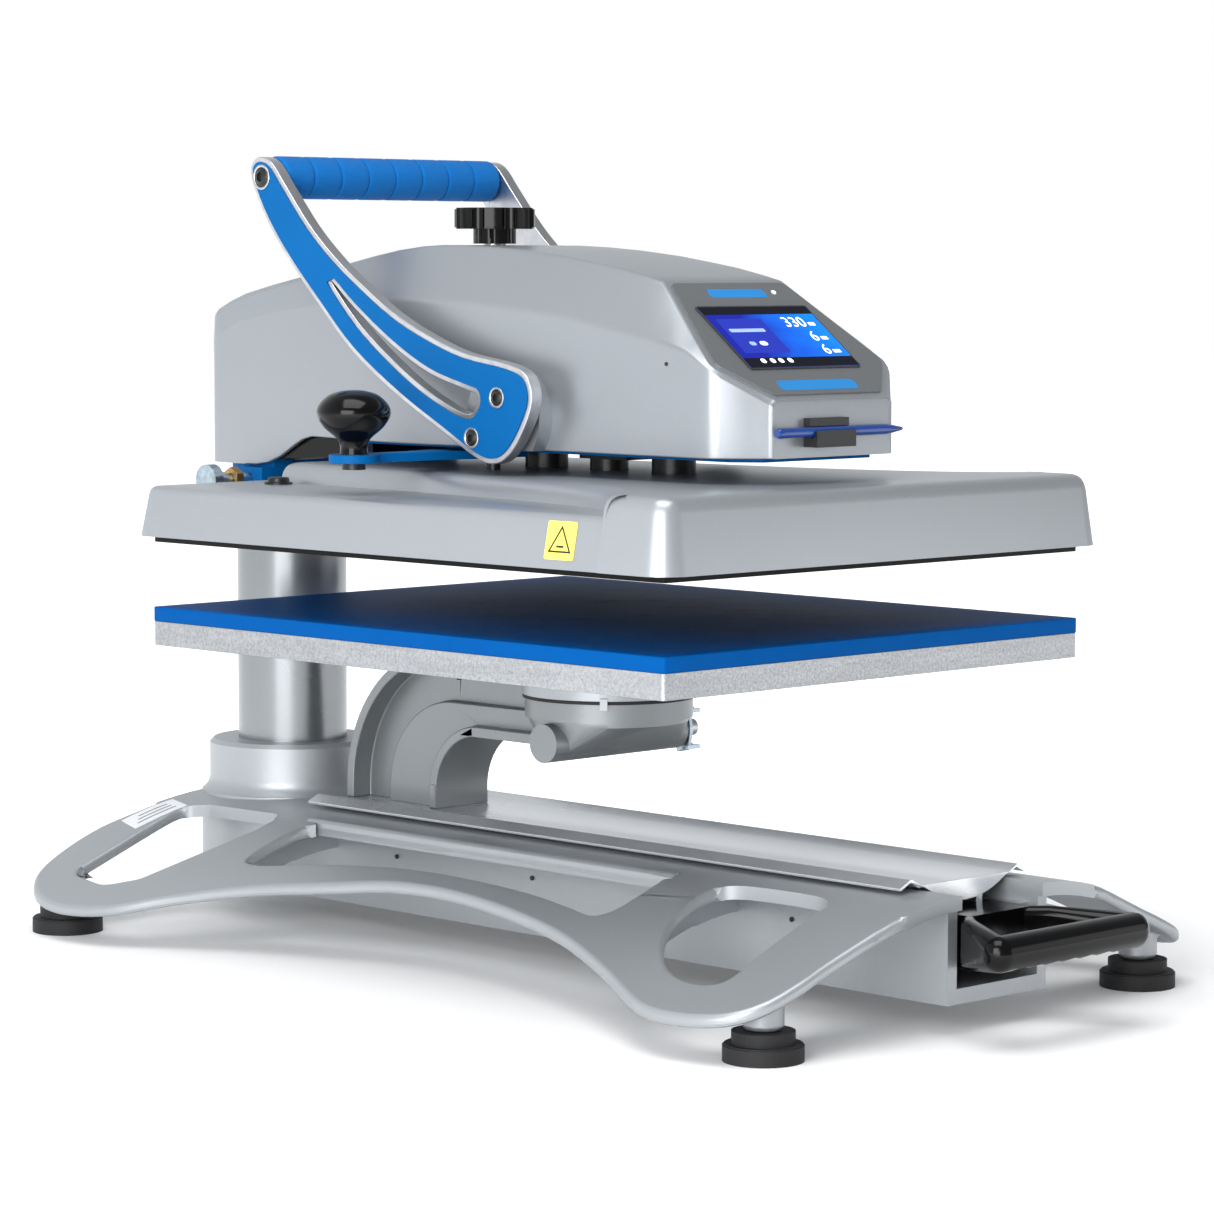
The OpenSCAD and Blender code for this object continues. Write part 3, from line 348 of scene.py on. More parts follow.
SILVER = (0.39, 0.41, 0.43)
BLUE = (0.0, 0.096, 0.30)
LOOKS = {
    "cast_grey": metallic_paint("cast_paint", SILVER, 0.42, 0.6),
    "housing_grey": metallic_paint("housing_paint", (0.315, 0.335, 0.36), 0.35, 0.6, 0.05),
    "bare_aluminium": cast_metal("bare_cast", (0.44, 0.452, 0.47), 0.42),
    "arm_aluminium": brushed("machined_edge", (0.62, 0.63, 0.65), 0.34, (30, 1, 1)),
    "sheet_silver": metallic_paint("sheet_paint", (0.84, 0.855, 0.88), 0.26, 0.85, 0.04),
    "column_silver": metallic_paint("column_paint", (0.26, 0.275, 0.285), 0.27, 0.8, 0.03),
    # A darker copy of the cast paint for the C-arm and the receiver under the lower platen: painted shade
    "shaded_cast": metallic_paint("shaded_cast_paint", (0.25, 0.265, 0.275), 0.40, 0.6),
    # A darker copy of the housing paint for the sloping control panel: painted shade
    "shaded_panel_sheet": metallic_paint("shaded_panel_paint", (0.205, 0.213, 0.222), 0.38, 0.6, 0.04),
    # A lighter copy of the housing paint for the platen cover, whose top lies in the housing's shade:
    # painted light
    "lit_cover_sheet": metallic_paint("lit_cover_paint", (0.36, 0.38, 0.405), 0.35, 0.6, 0.05),
    "steel": brushed("ground_steel", (0.56, 0.57, 0.58), 0.30),
    "zinc": zinc_plate("zinc_plate", (0.46, 0.55, 0.62), 0.30),
    "blue_paint": powder_coat("blue_coat", BLUE, 0.5, 0.14, 0.0, 0.08),
    "blue_foam": foam_rubber("blue_foam", (0.0, 0.13, 0.43), 1500),
    "blue_silicone": blotched_pad("blue_silicone", (0.0, 0.075, 0.29)),
    "black_rubber": powder_coat("black_rubber", (0.016, 0.016, 0.017), 0.62, 0.3),
    "black_gloss": powder_coat("black_gloss", (0.002, 0.002, 0.0023), 0.14, 0.02, 0.05, 0.2),
    "black_metal": powder_coat("black_oxide", (0.012, 0.012, 0.013), 0.32, 0.08),
    # Near-black coat of the heat plate: a dark non-stick coat, and also painted shade, since its edge below
    # the platen cover stands for the shadowed gap there
    "dark_coat": powder_coat("dark_coat", (0.005, 0.005, 0.0055), 0.5, 0.1, 0.0, 0.12),
    "bronze": brushed("bronze", (0.48, 0.30, 0.12), 0.32),
    "screen": powder_coat("screen_glass", (0.004, 0.005, 0.01), 0.06, 0.0, 1.0),
    "pen_blue": powder_coat("pen_blue", (0.006, 0.04, 0.22), 0.2, 0.03, 0.6),
    "board_green": powder_coat("board_green", (0.01, 0.12, 0.05), 0.5),
}

# Which finish a node shows, where it isn't its own slot's; some are copies of a paint that carry painted
# shade or painted light
SHOWN_AS = {
    "left_arm": "arm_aluminium", "right_arm": "arm_aluminium", "tray_cover": "sheet_silver",
    "sled": "sheet_silver", "platen_hub": "cast_grey", "c_arm": "shaded_cast", "receiver": "shaded_cast",
    "control_panel": "shaded_panel_sheet", "platen_cover": "lit_cover_sheet",
}
# Width of the rounded edge of each node, in mm
EDGES = {
    "base_casting": 3.2, "c_arm": 1.2, "receiver": 1.2, "platen_cover": 0.8, "housing": 0.8,
    "lower_platen": 0.7, "left_arm": 0.9, "right_arm": 0.9, "arm_facings": 0.3, "swing_arm": 1.0,
    "swing_handle_arm": 0.8, "draw_handle": 1.6, "pressure_knob": 1.2, "foot_pads": 0.8,
    "touch_screen": 0.3, "control_panel": 0.4, "tray_cover": 0.3, "lever_screws": 0.5,
    "pen_holder": 0.8, "cover_bolts": 0.4, "clamp_nut": 0.5, "tension_knob": 0.6,
    "latch_plate": 0.4, "pivot_shaft": 0.6, "power_inlet": 0.8, "power_switch": 0.8,
    "pressure_plate": 1.0, "heat_plate": 0.6, "platen_hub": 0.6, "column": 0.6,
}
SMOOTH_BELOW = math.radians(33)
MERGE_WITHIN = 0.00001
# The base's wings: level edges further out than WING_FROM are rounded by WING_ROUNDING, in mm
WING_FROM, WING_ROUNDING = 97.0, 3.6
UPRIGHT = 0.7  # an edge whose direction rises more than this is an upright corner


def wing_weights(group, mesh, sharp):
    """Gives a bevel weight to the sharp, level edges of the wings and returns the new geometry."""
    def maths(operation, *inputs, against=None):
        made = group.nodes.new("ShaderNodeMath")
        made.operation = operation
        for i, source in enumerate(inputs):
            group.links.new(source, made.inputs[i])
        if against is not None:
            made.inputs[1].default_value = against
        return made.outputs[0]

    def part_of(vector, axis):
        made = group.nodes.new("ShaderNodeSeparateXYZ")
        group.links.new(vector, made.inputs[0])
        return made.outputs[axis]

    ends = group.nodes.new("GeometryNodeInputMeshEdgeVertices")
    span = group.nodes.new("ShaderNodeVectorMath")
    span.operation = "SUBTRACT"
    direction = group.nodes.new("ShaderNodeVectorMath")
    direction.operation = "NORMALIZE"
    group.links.new(ends.outputs["Position 1"], span.inputs[0])
    group.links.new(ends.outputs["Position 2"], span.inputs[1])
    group.links.new(span.outputs[0], direction.inputs[0])
    spot = group.nodes.new("GeometryNodeInputPosition")
    width = maths("ABSOLUTE", part_of(spot.outputs[0], "X"))
    rise = maths("ABSOLUTE", part_of(direction.outputs[0], "Z"))
    far = maths("GREATER_THAN", width, against=WING_FROM * MM)
    level = maths("LESS_THAN", rise, against=UPRIGHT)
    store = group.nodes.new("GeometryNodeStoreNamedAttribute")
    store.data_type = "FLOAT"
    store.domain = "EDGE"
    store.inputs["Name"].default_value = "bevel_weight_edge"
    group.links.new(mesh, store.inputs["Geometry"])
    group.links.new(maths("MULTIPLY", maths("MULTIPLY", far, level), sharp), store.inputs["Value"])
    return store.outputs[0]


def edge_group(name, has_wings):
    """Geometry nodes that join the split corners of a CAD mesh and mark its real edges."""
    group = bpy.data.node_groups.new(name, "GeometryNodeTree")
    group.interface.new_socket("Geometry", in_out="INPUT", socket_type="NodeSocketGeometry")
    group.interface.new_socket("Geometry", in_out="OUTPUT", socket_type="NodeSocketGeometry")
    start = group.nodes.new("NodeGroupInput")
    end = group.nodes.new("NodeGroupOutput")
    merge = group.nodes.new("GeometryNodeMergeByDistance")
    merge.inputs["Distance"].default_value = MERGE_WITHIN
    angle = group.nodes.new("GeometryNodeInputMeshEdgeAngle")
    compare = group.nodes.new("FunctionNodeCompare")
    compare.data_type = "FLOAT"
    compare.operation = "GREATER_THAN"
    compare.inputs["B"].default_value = SMOOTH_BELOW
    normals = group.nodes.new("GeometryNodeSetMeshNormal")
    normals.mode = "SHARPNESS"
    normals.inputs["Remove Custom"].default_value = True
    normals.inputs["Face Sharpness"].default_value = False
    group.links.new(start.outputs[0], merge.inputs["Geometry"])
    group.links.new(merge.outputs[0], normals.inputs["Mesh"])
    group.links.new(angle.outputs["Unsigned Angle"], compare.inputs["A"])
    group.links.new(compare.outputs["Result"], normals.inputs["Edge Sharpness"])
    joined = normals.outputs[0]
    if has_wings:
        joined = wing_weights(group, joined, compare.outputs["Result"])
    group.links.new(joined, end.inputs[0])
    return group


JOINED = edge_group("joined_edges", False)
WING_JOINED = edge_group("joined_wing_edges", True)


def rounded_edges(piece, name, limit, width, segments, clamp):
    """A bevel over a piece's edges, with a width in mm."""
    bevel = piece.modifiers.new(name, "BEVEL")
    bevel.limit_method = limit
    bevel.angle_limit = SMOOTH_BELOW
    bevel.width = width * MM
    bevel.segments = segments
    bevel.use_clamp_overlap = clamp
    bevel.harden_normals = True


def dress(node, look):
    """Gives a CAD node its material, smooth shading and rounded edges, by modifiers only."""
    piece = frame["nodes"][node]
    piece.data.materials.clear()
    piece.data.materials.append(LOOKS[look])
    has_wings = node == "base_casting"
    joined = piece.modifiers.new("joined", "NODES")
    joined.node_group = WING_JOINED if has_wings else JOINED
    if has_wings:
        rounded_edges(piece, "wing_edges", "WEIGHT", WING_ROUNDING, 3, False)
    if node in EDGES:
        rounded_edges(piece, "edges", "ANGLE", EDGES[node], 2, True)


for part in frame["record"]["subparts"]:
    dress(part["node"], SHOWN_AS.get(part["node"], part["material_slot"]))


# ---------------------------------------------------------------- new pieces

def add(name, mesh, look, body, stands_for=()):
    """A new piece that rides on a body, and takes the place of the nodes that it stands for."""
    mesh.materials.append(LOOKS[look] if isinstance(look, str) else look)
    piece = bpy.data.objects.new(name, mesh)
    scene.collection.objects.link(piece)
    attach(piece, body)
    if stands_for:
        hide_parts(*stands_for)
    return piece


def mesh_of(name, points, faces, smooth=True):
    """A mesh from its points in metres and its faces."""
    mesh = bpy.data.meshes.new(name)
    mesh.from_pydata([tuple(p) for p in points], [], faces)
    mesh.update()
    for face in mesh.polygons:
        face.use_smooth = smooth
    return mesh


def turned_mesh(name, profile, axis_point, axis, steps=96):
    """A profile of (distance along the axis, radius) turned round an axis line."""
    axis = Vector(axis).normalized()
    side = axis.orthogonal().normalized()
    other = axis.cross(side)
    points, faces = [], []
    for along, radius in profile:
        for k in range(steps):
            turn = 2 * math.pi * k / steps
            ray = side * math.cos(turn) + other * math.sin(turn)
            points.append(Vector(axis_point) + axis * along + ray * radius)
    for i in range(len(profile) - 1):
        for k in range(steps):
            after = (k + 1) % steps
            faces.append((i * steps + k, i * steps + after, (i + 1) * steps + after, (i + 1) * steps + k))
    faces.append(tuple(reversed(range(steps))))
    faces.append(tuple((len(profile) - 1) * steps + k for k in range(steps)))
    return mesh_of(name, points, faces)


# Foam grip: a long foam sleeve with pressed rings
low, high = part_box("foam_grip")
grip_radius = (high.z - low.z) / 2
grip_centre = (low + high) / 2
half_length = (high.x - low.x) / 2
RINGS = 8
INSET = 0.1  # the foam's skin lies this far inside the CAD sleeve, in mm
END_CHAMFER = 1.5
pitch = 2 * half_length / RINGS
# Across one ring: (distance from its start, depth below the skin), in mm
RING_EDGE = ((0.0, 2.4), (0.35, 1.3), (0.9, 0.5), (1.8, 0.12), (3.5, 0.0))
profile = []
for ring in range(RINGS):
    start = -half_length + ring * pitch
    profile += [(start + along * MM, grip_radius - (deep + INSET) * MM) for along, deep in RING_EDGE]
    profile += [(start + pitch - along * MM, grip_radius - (deep + INSET) * MM)
                for along, deep in reversed(RING_EDGE[1:])]
profile.append((half_length, grip_radius - END_CHAMFER * MM))
tube_low, tube_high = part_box("grip_tube")
tube_radius = (tube_high.z - tube_low.z) / 2
profile = [(-half_length, tube_radius)] + profile + [(half_length, tube_radius)]
foam = add("foam_sleeve", turned_mesh("foam_sleeve", profile, grip_centre, (1, 0, 0)), "blue_foam",
           "lever", ["foam_grip"])


# The pad's top: depth of its dips in metres, and how fast they wave along X and Y
DIP = 0.00025
DIP_WAVES = (31, 27)
PAD_CORNER, PAD_EDGE, PAD_CUTS = 0.002, 0.0008, 24
NEAR = 0.00001
RIM_ANGLE = 0.8  # an edge that bends more than this, in radians, is on the rim
TOP_SKIN = 0.0005  # points less than this far below the top belong to it


def slab(name, low, high, radius, edge, cuts):
    """A flat slab with rounded corners and edges and a gridded top that dips a little."""
    half = Vector(((high.x - low.x) / 2, (high.y - low.y) / 2))
    centre = (low + high) / 2
    bm = bmesh.new()
    bmesh.ops.create_grid(bm, x_segments=cuts, y_segments=cuts, size=1)
    for vertex in bm.verts:
        vertex.co.x *= half.x
        vertex.co.y *= half.y
    deepened = bmesh.ops.extrude_face_region(bm, geom=bm.faces[:])
    for item in deepened["geom"]:
        if isinstance(item, bmesh.types.BMVert):
            item.co.z -= high.z - low.z
    corners = [e for e in bm.edges if all(
        abs(abs(v.co.x) - half.x) < NEAR and abs(abs(v.co.y) - half.y) < NEAR for v in e.verts)]
    bmesh.ops.bevel(bm, geom=corners, offset=radius, segments=4, affect="EDGES", profile=0.5)
    rim = [e for e in bm.edges if len(e.link_faces) == 2 and e.calc_face_angle() > RIM_ANGLE]
    bmesh.ops.bevel(bm, geom=rim, offset=edge, segments=3, affect="EDGES", profile=0.5)
    for vertex in bm.verts:
        inner = max(0, 1 - (abs(vertex.co.x) / half.x) ** 6) * max(0, 1 - (abs(vertex.co.y) / half.y) ** 6)
        if vertex.co.z > -TOP_SKIN:
            wave = math.sin(vertex.co.x * DIP_WAVES[0]) * math.cos(vertex.co.y * DIP_WAVES[1])
            vertex.co.z -= DIP * inner * (1 + wave)
        vertex.co += Vector((centre.x, centre.y, high.z))
    bmesh.ops.recalc_face_normals(bm, faces=bm.faces[:])
    # A bevel numbers its points and faces differently each run, so both are put in order
    ordered = sorted(bm.verts, key=lambda vertex: tuple(vertex.co))
    rank = {vertex: i for i, vertex in enumerate(ordered)}
    faces = []
    for face in bm.faces:
        ring = [rank[vertex] for vertex in face.verts]
        first = ring.index(min(ring))
        faces.append(ring[first:] + ring[:first])
    mesh = mesh_of(name, [vertex.co for vertex in ordered], sorted(faces))
    bm.free()
    return mesh


low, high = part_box("silicone_pad")
pad = add("silicone_sheet", slab("silicone_sheet", low, high, PAD_CORNER, PAD_EDGE, PAD_CUTS),
          "blue_silicone", "carriage", ["silicone_pad"])

# ---------------------------------------------------------------- display and marks

# The sloping control panel: its lower edge, in mm, and its slope
PANEL_FRONT, PANEL_LOW = 46.8, 401.0
SLOPE = math.radians(37.74)
PANEL_UP = Vector((0, math.cos(SLOPE), math.sin(SLOPE)))
PANEL_OUT = Vector((0, -math.sin(SLOPE), math.cos(SLOPE)))


def on_panel(x, s, lift):
    """A point on the sloping control panel: x across, s up the slope, lift off it, in mm."""
    return place(x, PANEL_FRONT, PANEL_LOW) + PANEL_UP * (s * MM) + PANEL_OUT * (lift * MM)


def panel_patch(name, outline, lift, thick, look):
    """A thin plate on the panel, from an anticlockwise outline of (x, s)."""
    n = len(outline)
    points = [on_panel(x, s, lift + thick) for x, s in outline] + [on_panel(x, s, lift) for x, s in outline]
    faces = [tuple(range(n)), tuple(reversed(range(n, 2 * n)))]
    faces += [(i, i + n, (i + 1) % n + n, (i + 1) % n) for i in range(n)]
    return add(name, mesh_of(name, points, faces, False), look, "head")


CORNER_STEPS = 4


def rectangle(x0, s0, x1, s1, radius=0.0):
    """An anticlockwise rectangle, with rounded corners if a radius is given."""
    if radius <= 0:
        return [(x0, s0), (x1, s0), (x1, s1), (x0, s1)]
    outline = []
    for cx, cy, first in ((x1 - radius, s0 + radius, -90), (x1 - radius, s1 - radius, 0),
                          (x0 + radius, s1 - radius, 90), (x0 + radius, s0 + radius, 180)):
        for k in range(CORNER_STEPS + 1):
            turn = math.radians(first + 90 * k / CORNER_STEPS)
            outline.append((cx + radius * math.cos(turn), cy + radius * math.sin(turn)))
    return outline


WHITE_GLOW = flat_glow("white_glow", (0.85, 0.9, 1.0), 0.9)
BAR_GLOW = flat_glow("bar_glow", (0.001, 0.0015, 0.006), 0.4)
PANE_GLOW = flat_glow("pane_glow", (0.01, 0.02, 0.26), 0.8)
DIM_GLOW = flat_glow("dim_glow", (0.25, 0.35, 0.6), 0.6)
MARK_BLUE = powder_coat("mark_blue", (0.01, 0.21, 0.55), 0.3, 0.02)
# The screen's picture: half its width and its lower and upper edges, with a dark bar along each edge
PICTURE_HALF, PICTURE_LOW, PICTURE_HIGH = 52.6, 29.4, 92.6
TOP_BAR_FROM, LOW_BAR_TO = 84.5, 39
# How far above the panel each layer lies, in mm
PANEL_SKIN, PICTURE, ON_PICTURE, ON_PANE, NUMBERS, ON_BAR = 1.4, 2.4, 2.5, 2.54, 2.56, 2.58
panel_patch("screen_picture", rectangle(-PICTURE_HALF, PICTURE_LOW, PICTURE_HALF, PICTURE_HIGH),
            PICTURE, 0.1, screen_glow("screen_picture"))
panel_patch("screen_top_bar", rectangle(-PICTURE_HALF, TOP_BAR_FROM, PICTURE_HALF, PICTURE_HIGH),
            ON_PICTURE, 0.08, BAR_GLOW)
panel_patch("screen_low_bar", rectangle(-PICTURE_HALF, PICTURE_LOW, PICTURE_HALF, LOW_BAR_TO),
            ON_PICTURE, 0.08, BAR_GLOW)
panel_patch("screen_pane", rectangle(-46, 44, -2, 80, 1), ON_PICTURE, 0.04, PANE_GLOW)
panel_patch("top_mark", rectangle(-28, 104, 27, 113, 3), PANEL_SKIN, 0.15, MARK_BLUE)
panel_patch("low_mark", rectangle(-41, 6.5, 34, 16.5, 3), PANEL_SKIN, 0.15, MARK_BLUE)


FONT_SIZE = 1.37  # font size over the height of a digit
NUMBER_HEIGHT, NUMBER_THICK = 10.5, 0.04
NUMBER_END = 38  # where the numbers end, across the panel


def number(name, text, s):
    """A number on the display, as a flat mesh."""
    curve = bpy.data.curves.new(name, "FONT")
    curve.body = text
    curve.size = NUMBER_HEIGHT * MM * FONT_SIZE
    curve.align_x = "RIGHT"
    curve.extrude = NUMBER_THICK * MM
    probe = bpy.data.objects.new(name + "_probe", curve)
    scene.collection.objects.link(probe)
    bpy.context.view_layer.update()
    mesh = bpy.data.meshes.new_from_object(probe.evaluated_get(bpy.context.evaluated_depsgraph_get()))
    bpy.data.objects.remove(probe)
    basis = Matrix((Vector((1, 0, 0)), PANEL_UP, PANEL_OUT)).transposed().to_4x4()
    mesh.transform(Matrix.Translation(on_panel(NUMBER_END, s, NUMBERS)) @ basis)
    mesh.materials.clear()
    mesh.name = name
    add(name, mesh, WHITE_GLOW, "head")


# The rest of the display's layout, in mm across and up the panel
number("reading_high", "330", 71)
number("reading_middle", "6", 56)
number("reading_low", "6", 42)
UNIT_HIGH = 3.2
for i, (end, low_edge) in enumerate(((46, 72), (46, 57), (47, 43))):
    outline = rectangle(NUMBER_END + 2, low_edge, end, low_edge + UNIT_HIGH)
    panel_patch(f"unit_mark_{i}", outline, ON_PICTURE, 0.08, WHITE_GLOW)
panel_patch("screen_line", rectangle(-42, 66, -8, 69.5, 1), ON_PANE, 0.06, DIM_GLOW)
ICON_HALF = 2.2
for i, x in enumerate((-36, -27, -19, -10)):
    outline = rectangle(x - ICON_HALF, 33.6, x + ICON_HALF, 38, 1.6)
    panel_patch(f"icon_{i}", outline, ON_BAR, 0.06, WHITE_GLOW)
panel_patch("icon_wide", rectangle(-24, 52, -17, 56, 1.9), ON_PANE, 0.06, WHITE_GLOW)
panel_patch("icon_dark", rectangle(-34, 52, -28, 56, 1.9), ON_PANE, 0.06, DIM_GLOW)

# A small domed lamp near the panel's top: (distance off the panel, radius), in metres
LAMP_DOME = [(0, 0.0018), (0.0004, 0.0018), (0.0008, 0.0012), (0.0009, 0.0002)]
lamp_mesh = turned_mesh("status_lamp", LAMP_DOME, on_panel(36.3, 109.3, PANEL_SKIN), PANEL_OUT, 24)
add("status_lamp", lamp_mesh, WHITE_GLOW, "head")

# ---------------------------------------------------------------- trim and stickers

def extruded(name, outline, thick):
    """A plate from a closed outline of points, thickened along a vector."""
    n = len(outline)
    points = [Vector(p) for p in outline] + [Vector(p) + thick for p in outline]
    faces = [tuple(reversed(range(n))), tuple(range(n, 2 * n))]
    faces += [(i, (i + 1) % n, (i + 1) % n + n, i + n) for i in range(n)]
    mesh = mesh_of(name, points, faces, False)
    fix = bmesh.new()
    fix.from_mesh(mesh)
    bmesh.ops.recalc_face_normals(fix, faces=fix.faces[:])
    fix.to_mesh(mesh)
    fix.free()
    return mesh


# Black liners just inside the housing's arched lower edge, one each side, in mm
LINER_FROM, LINER_LONG, LINER_STEPS = 470, 90, 24
LINER_Y = [LINER_FROM + LINER_LONG * k / LINER_STEPS for k in range(LINER_STEPS + 1)]
LINER_IN, LINER_THICK, LINER_TOP = 49.4, 6.0, 372.0
LINER_LOW, LINER_DROP, DROP_LONG = 347.5, 4.0, 60
LINER_ROUNDING = 1.2


def liner_low(y):
    """Lower edge of the liner, which sweeps down towards its rear and then runs level."""
    return LINER_LOW - LINER_DROP * max(0.0, min(1.0, (y - LINER_FROM) / DROP_LONG))


for side in (-1, 1):
    lower = [place(side * LINER_IN, y, liner_low(y)) for y in LINER_Y]
    upper = [place(side * LINER_IN, y, LINER_TOP) for y in reversed(LINER_Y)]
    liner = extruded(f"arch_liner_{'left' if side < 0 else 'right'}", lower + upper,
                     Vector((side * LINER_THICK * MM, 0, 0)))
    piece = add(liner.name, liner, "black_gloss", "head")
    rounded = piece.modifiers.new("edges", "BEVEL")
    rounded.width = LINER_ROUNDING * MM
    rounded.segments = 3
    rounded.limit_method = "ANGLE"

# The stickers' colours, and their thickness in mm
STICKER_YELLOW = powder_coat("sticker_yellow", (0.92, 0.78, 0.13), 0.4, 0.02)
STICKER_WHITE = powder_coat("sticker_white", (0.74, 0.75, 0.78), 0.4, 0.02)
STICKER_INK = powder_coat("sticker_ink", (0.02, 0.018, 0.01), 0.45, 0.02)
STICKER_GREY = powder_coat("sticker_grey", (0.22, 0.22, 0.25), 0.45, 0.02)
STICKER_THICK = 0.12

# A yellow caution patch on the left of the platen cover: the cover's drafted side, and where the
# patch lies on it, in mm
TOWARDS_FRONT = Vector((0, -1, 0))
COVER_SHOULDER, DRAFT_IN, DRAFT_SHARE, PROUD = 331.0, 6.0, 0.86, 1.6
PATCH_BACK, PATCH_UP = 83.5, 18.5
cover_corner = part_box("platen_cover")[0]
LEAN = math.atan2(DRAFT_IN, DRAFT_SHARE * (COVER_SHOULDER - cover_corner.z / MM))
side_up = Vector((math.sin(LEAN), 0, math.cos(LEAN)))
side_out = TOWARDS_FRONT.cross(side_up).normalized()
patch_at = Vector((cover_corner.x + PROUD * MM, 0, cover_corner.z)) + side_up * (PATCH_UP * MM)
patch_at.y = (PATCH_BACK - MIDDLE_Y) * MM


def caution(name, outline, lift, look):
    """A thin piece of the caution patch: outline of (towards the front, up) and lift, in mm."""
    raised = patch_at + side_out * (lift * MM)
    points = [raised + TOWARDS_FRONT * (a * MM) + side_up * (b * MM) for a, b in outline]
    add(name, extruded(name, points, side_out * (STICKER_THICK * MM)), look, "heat_platen")


caution("caution_patch", rectangle(-13.3, -12.4, 13.3, 12.4, 1.5), 0.25, STICKER_YELLOW)


def bar(x0, y0, x1, y1, width):
    """A straight bar between two points."""
    along = Vector((x1 - x0, y1 - y0)).normalized() * (width / 2)
    over = Vector((-along.y, along.x))
    return [(x0 - along.x - over.x, y0 - along.y - over.y), (x1 + along.x - over.x, y1 + along.y - over.y),
            (x1 + along.x + over.x, y1 + along.y + over.y), (x0 - along.x + over.x, y0 - along.y + over.y)]


INK_WIDTH, INK_LIFT, INK_STEP = 1.2, 0.38, 0.02
triangle = [(-9.4, -7.2), (9.4, -7.2), (0, 8.6)]
for i in range(3):
    edge = bar(*triangle[i], *triangle[(i + 1) % 3], INK_WIDTH)
    caution(f"caution_edge_{i}", edge, INK_LIFT + INK_STEP * i, STICKER_INK)
caution("caution_dot", rectangle(-3.4, -4.6, 3.4, -3.2, 0.6), INK_LIFT, STICKER_INK)

# Plain white patch with a few short grey bars, on the left rear of the base: its middle and its
# directions along and over, in mm from the front edge of the platens
LABEL_AT = Vector((-110.5, 626))
LABEL_ALONG = Vector((0.968, -0.251)).normalized()
LABEL_OVER = Vector((-LABEL_ALONG.y, LABEL_ALONG.x))
LABEL_SUNK = 0.4  # its underside lies this far below the surface, so that no gap shows
BAR_HALF = 0.9
ABOVE_BASE = 200  # height from which the rays that find the base's top start, in mm
base_mesh = frame["nodes"]["base_casting"].data
base_points = [vertex.co for vertex in base_mesh.vertices]
base_skin = BVHTree.FromPolygons(base_points, [face.vertices for face in base_mesh.polygons])


def laid_patch(name, a0, b0, a1, b1, lift, look, steps=24):
    """A thin patch laid on the top of the base, from a0, b0 to a1, b1 in mm along and over the label."""
    points, faces = [], []
    for k in range(steps + 1):
        for b in (b0, b1):
            flat = LABEL_AT + LABEL_ALONG * (a0 + (a1 - a0) * k / steps) + LABEL_OVER * b
            down = base_skin.ray_cast(place(flat.x, flat.y, ABOVE_BASE), Vector((0, 0, -1)))[0]
            points.append(down + Vector((0, 0, (lift + STICKER_THICK) * MM)))
            points.append(down + Vector((0, 0, (lift - LABEL_SUNK) * MM)))
    for k in range(steps):
        i = 4 * k
        faces += [(i, i + 2, i + 6, i + 4), (i + 1, i + 5, i + 7, i + 3), (i, i + 4, i + 5, i + 1),
                  (i + 2, i + 3, i + 7, i + 6)]
    faces += [(0, 1, 3, 2), (4 * steps, 4 * steps + 2, 4 * steps + 3, 4 * steps + 1)]
    add(name, mesh_of(name, points, faces, False), look, "base")


laid_patch("label", -21, -13, 21, 13, 0.2, STICKER_WHITE)
for row, b in enumerate((-6, 0, 6)):
    laid_patch(f"label_bar_{row}", -16 + 3 * row, b - BAR_HALF, 15 - row, b + BAR_HALF, 0.3, STICKER_GREY)


RIM_SHARE = 0.3  # a washer's chamfer over its thickness


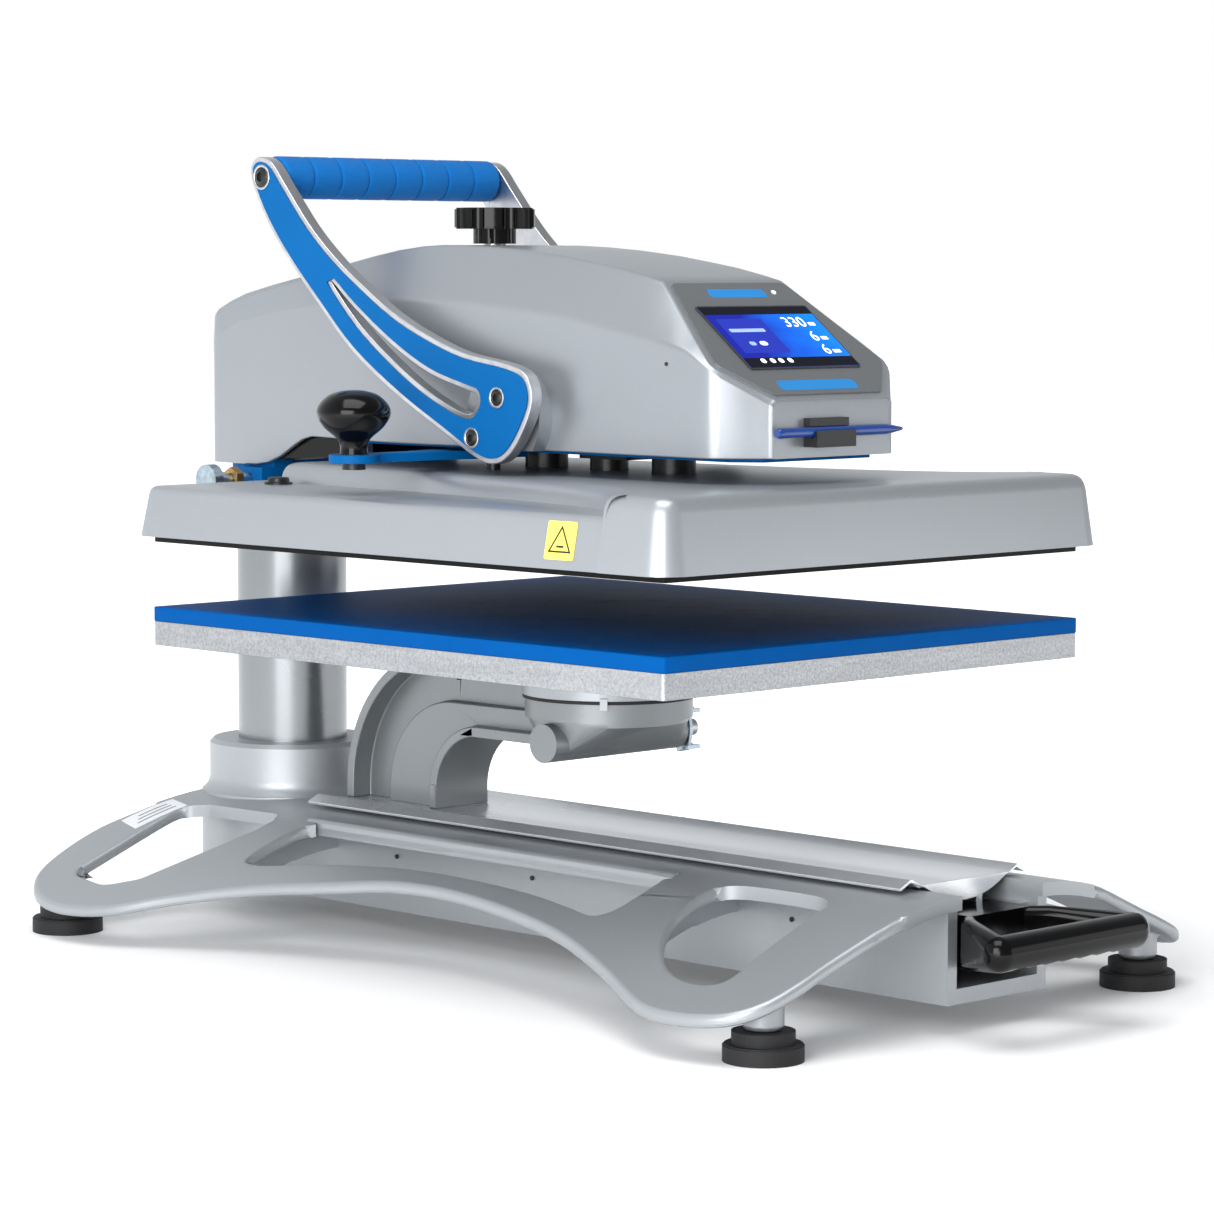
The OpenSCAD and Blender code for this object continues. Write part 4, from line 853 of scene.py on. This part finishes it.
def steel_ring(name, centre, axis, inner, outer, thick, body):
    """A plain washer with chamfered rims."""
    edge = thick * RIM_SHARE
    profile = [(0, inner), (0, outer - edge), (edge, outer), (thick - edge, outer), (thick, outer - edge),
               (thick, inner), (0, inner)]
    mesh = turned_mesh(name, [(a * MM, r * MM) for a, r in profile], centre, axis, 48)
    ends = bmesh.new()
    ends.from_mesh(mesh)
    bmesh.ops.delete(ends, geom=[f for f in ends.faces if len(f.verts) > 4], context="FACES_ONLY")
    bmesh.ops.remove_doubles(ends, verts=ends.verts[:], dist=1e-7)
    bmesh.ops.recalc_face_normals(ends, faces=ends.faces[:])
    ends.to_mesh(mesh)
    ends.free()
    return add(name, mesh, "steel", body)


# Washers round the heads of the lever's screws, in mm: (distance back from the platens' front edge,
# height, inner radius, outer radius)
LEVER_WASHERS = {"top": (490.5, 549, 7.1, 9.0), "front": (245, 398, 5.5, 7.2), "foot": (270, 370, 5.5, 7.2)}
WASHER_THICK = 0.7
facing_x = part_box("arm_facings")[1].x / MM
for side in (-1, 1):
    for spot, (y, z, inner, outer) in LEVER_WASHERS.items():
        steel_ring(f"washer_{spot}_{'left' if side < 0 else 'right'}", place(side * facing_x, y, z),
                   (side, 0, 0), inner, outer, WASHER_THICK, "lever")

# ---------------------------------------------------------------- floor

FLOOR_HALF = 14
# The floor glows more from one distance to another, in metres, so that it fades into the backdrop
FLOOR_NEAR, FLOOR_FAR = 0.40, 0.95
GLOW_NEAR, GLOW_FAR = 0.05, 0.9
corners = [(x * FLOOR_HALF, y * FLOOR_HALF, 0) for x, y in ((-1, -1), (1, -1), (1, 1), (-1, 1))]
floor_mesh = mesh_of("floor", corners, [(0, 1, 2, 3)])
floor_shader = Shader("floor", Roughness=0.9)
floor_shader.colour(floor_shader.mixed(floor_shader.noise(3, 2), (0.86, 0.86, 0.865), (0.89, 0.89, 0.895)))
away = floor_shader.node("ShaderNodeVectorMath")
away.operation = "LENGTH"
floor_shader.link(floor_shader.coordinates.outputs["Object"], away.inputs[0])
floor_shader.surface.inputs["Emission Color"].default_value = (1, 1, 1, 1)
glow = floor_shader.spread(away.outputs["Value"], GLOW_NEAR, GLOW_FAR, FLOOR_NEAR, FLOOR_FAR)
floor_shader.link(glow, floor_shader.surface.inputs["Emission Strength"])
floor_mesh.materials.append(floor_shader.material)
floor = bpy.data.objects.new("floor", floor_mesh)
scene.collection.objects.link(floor)
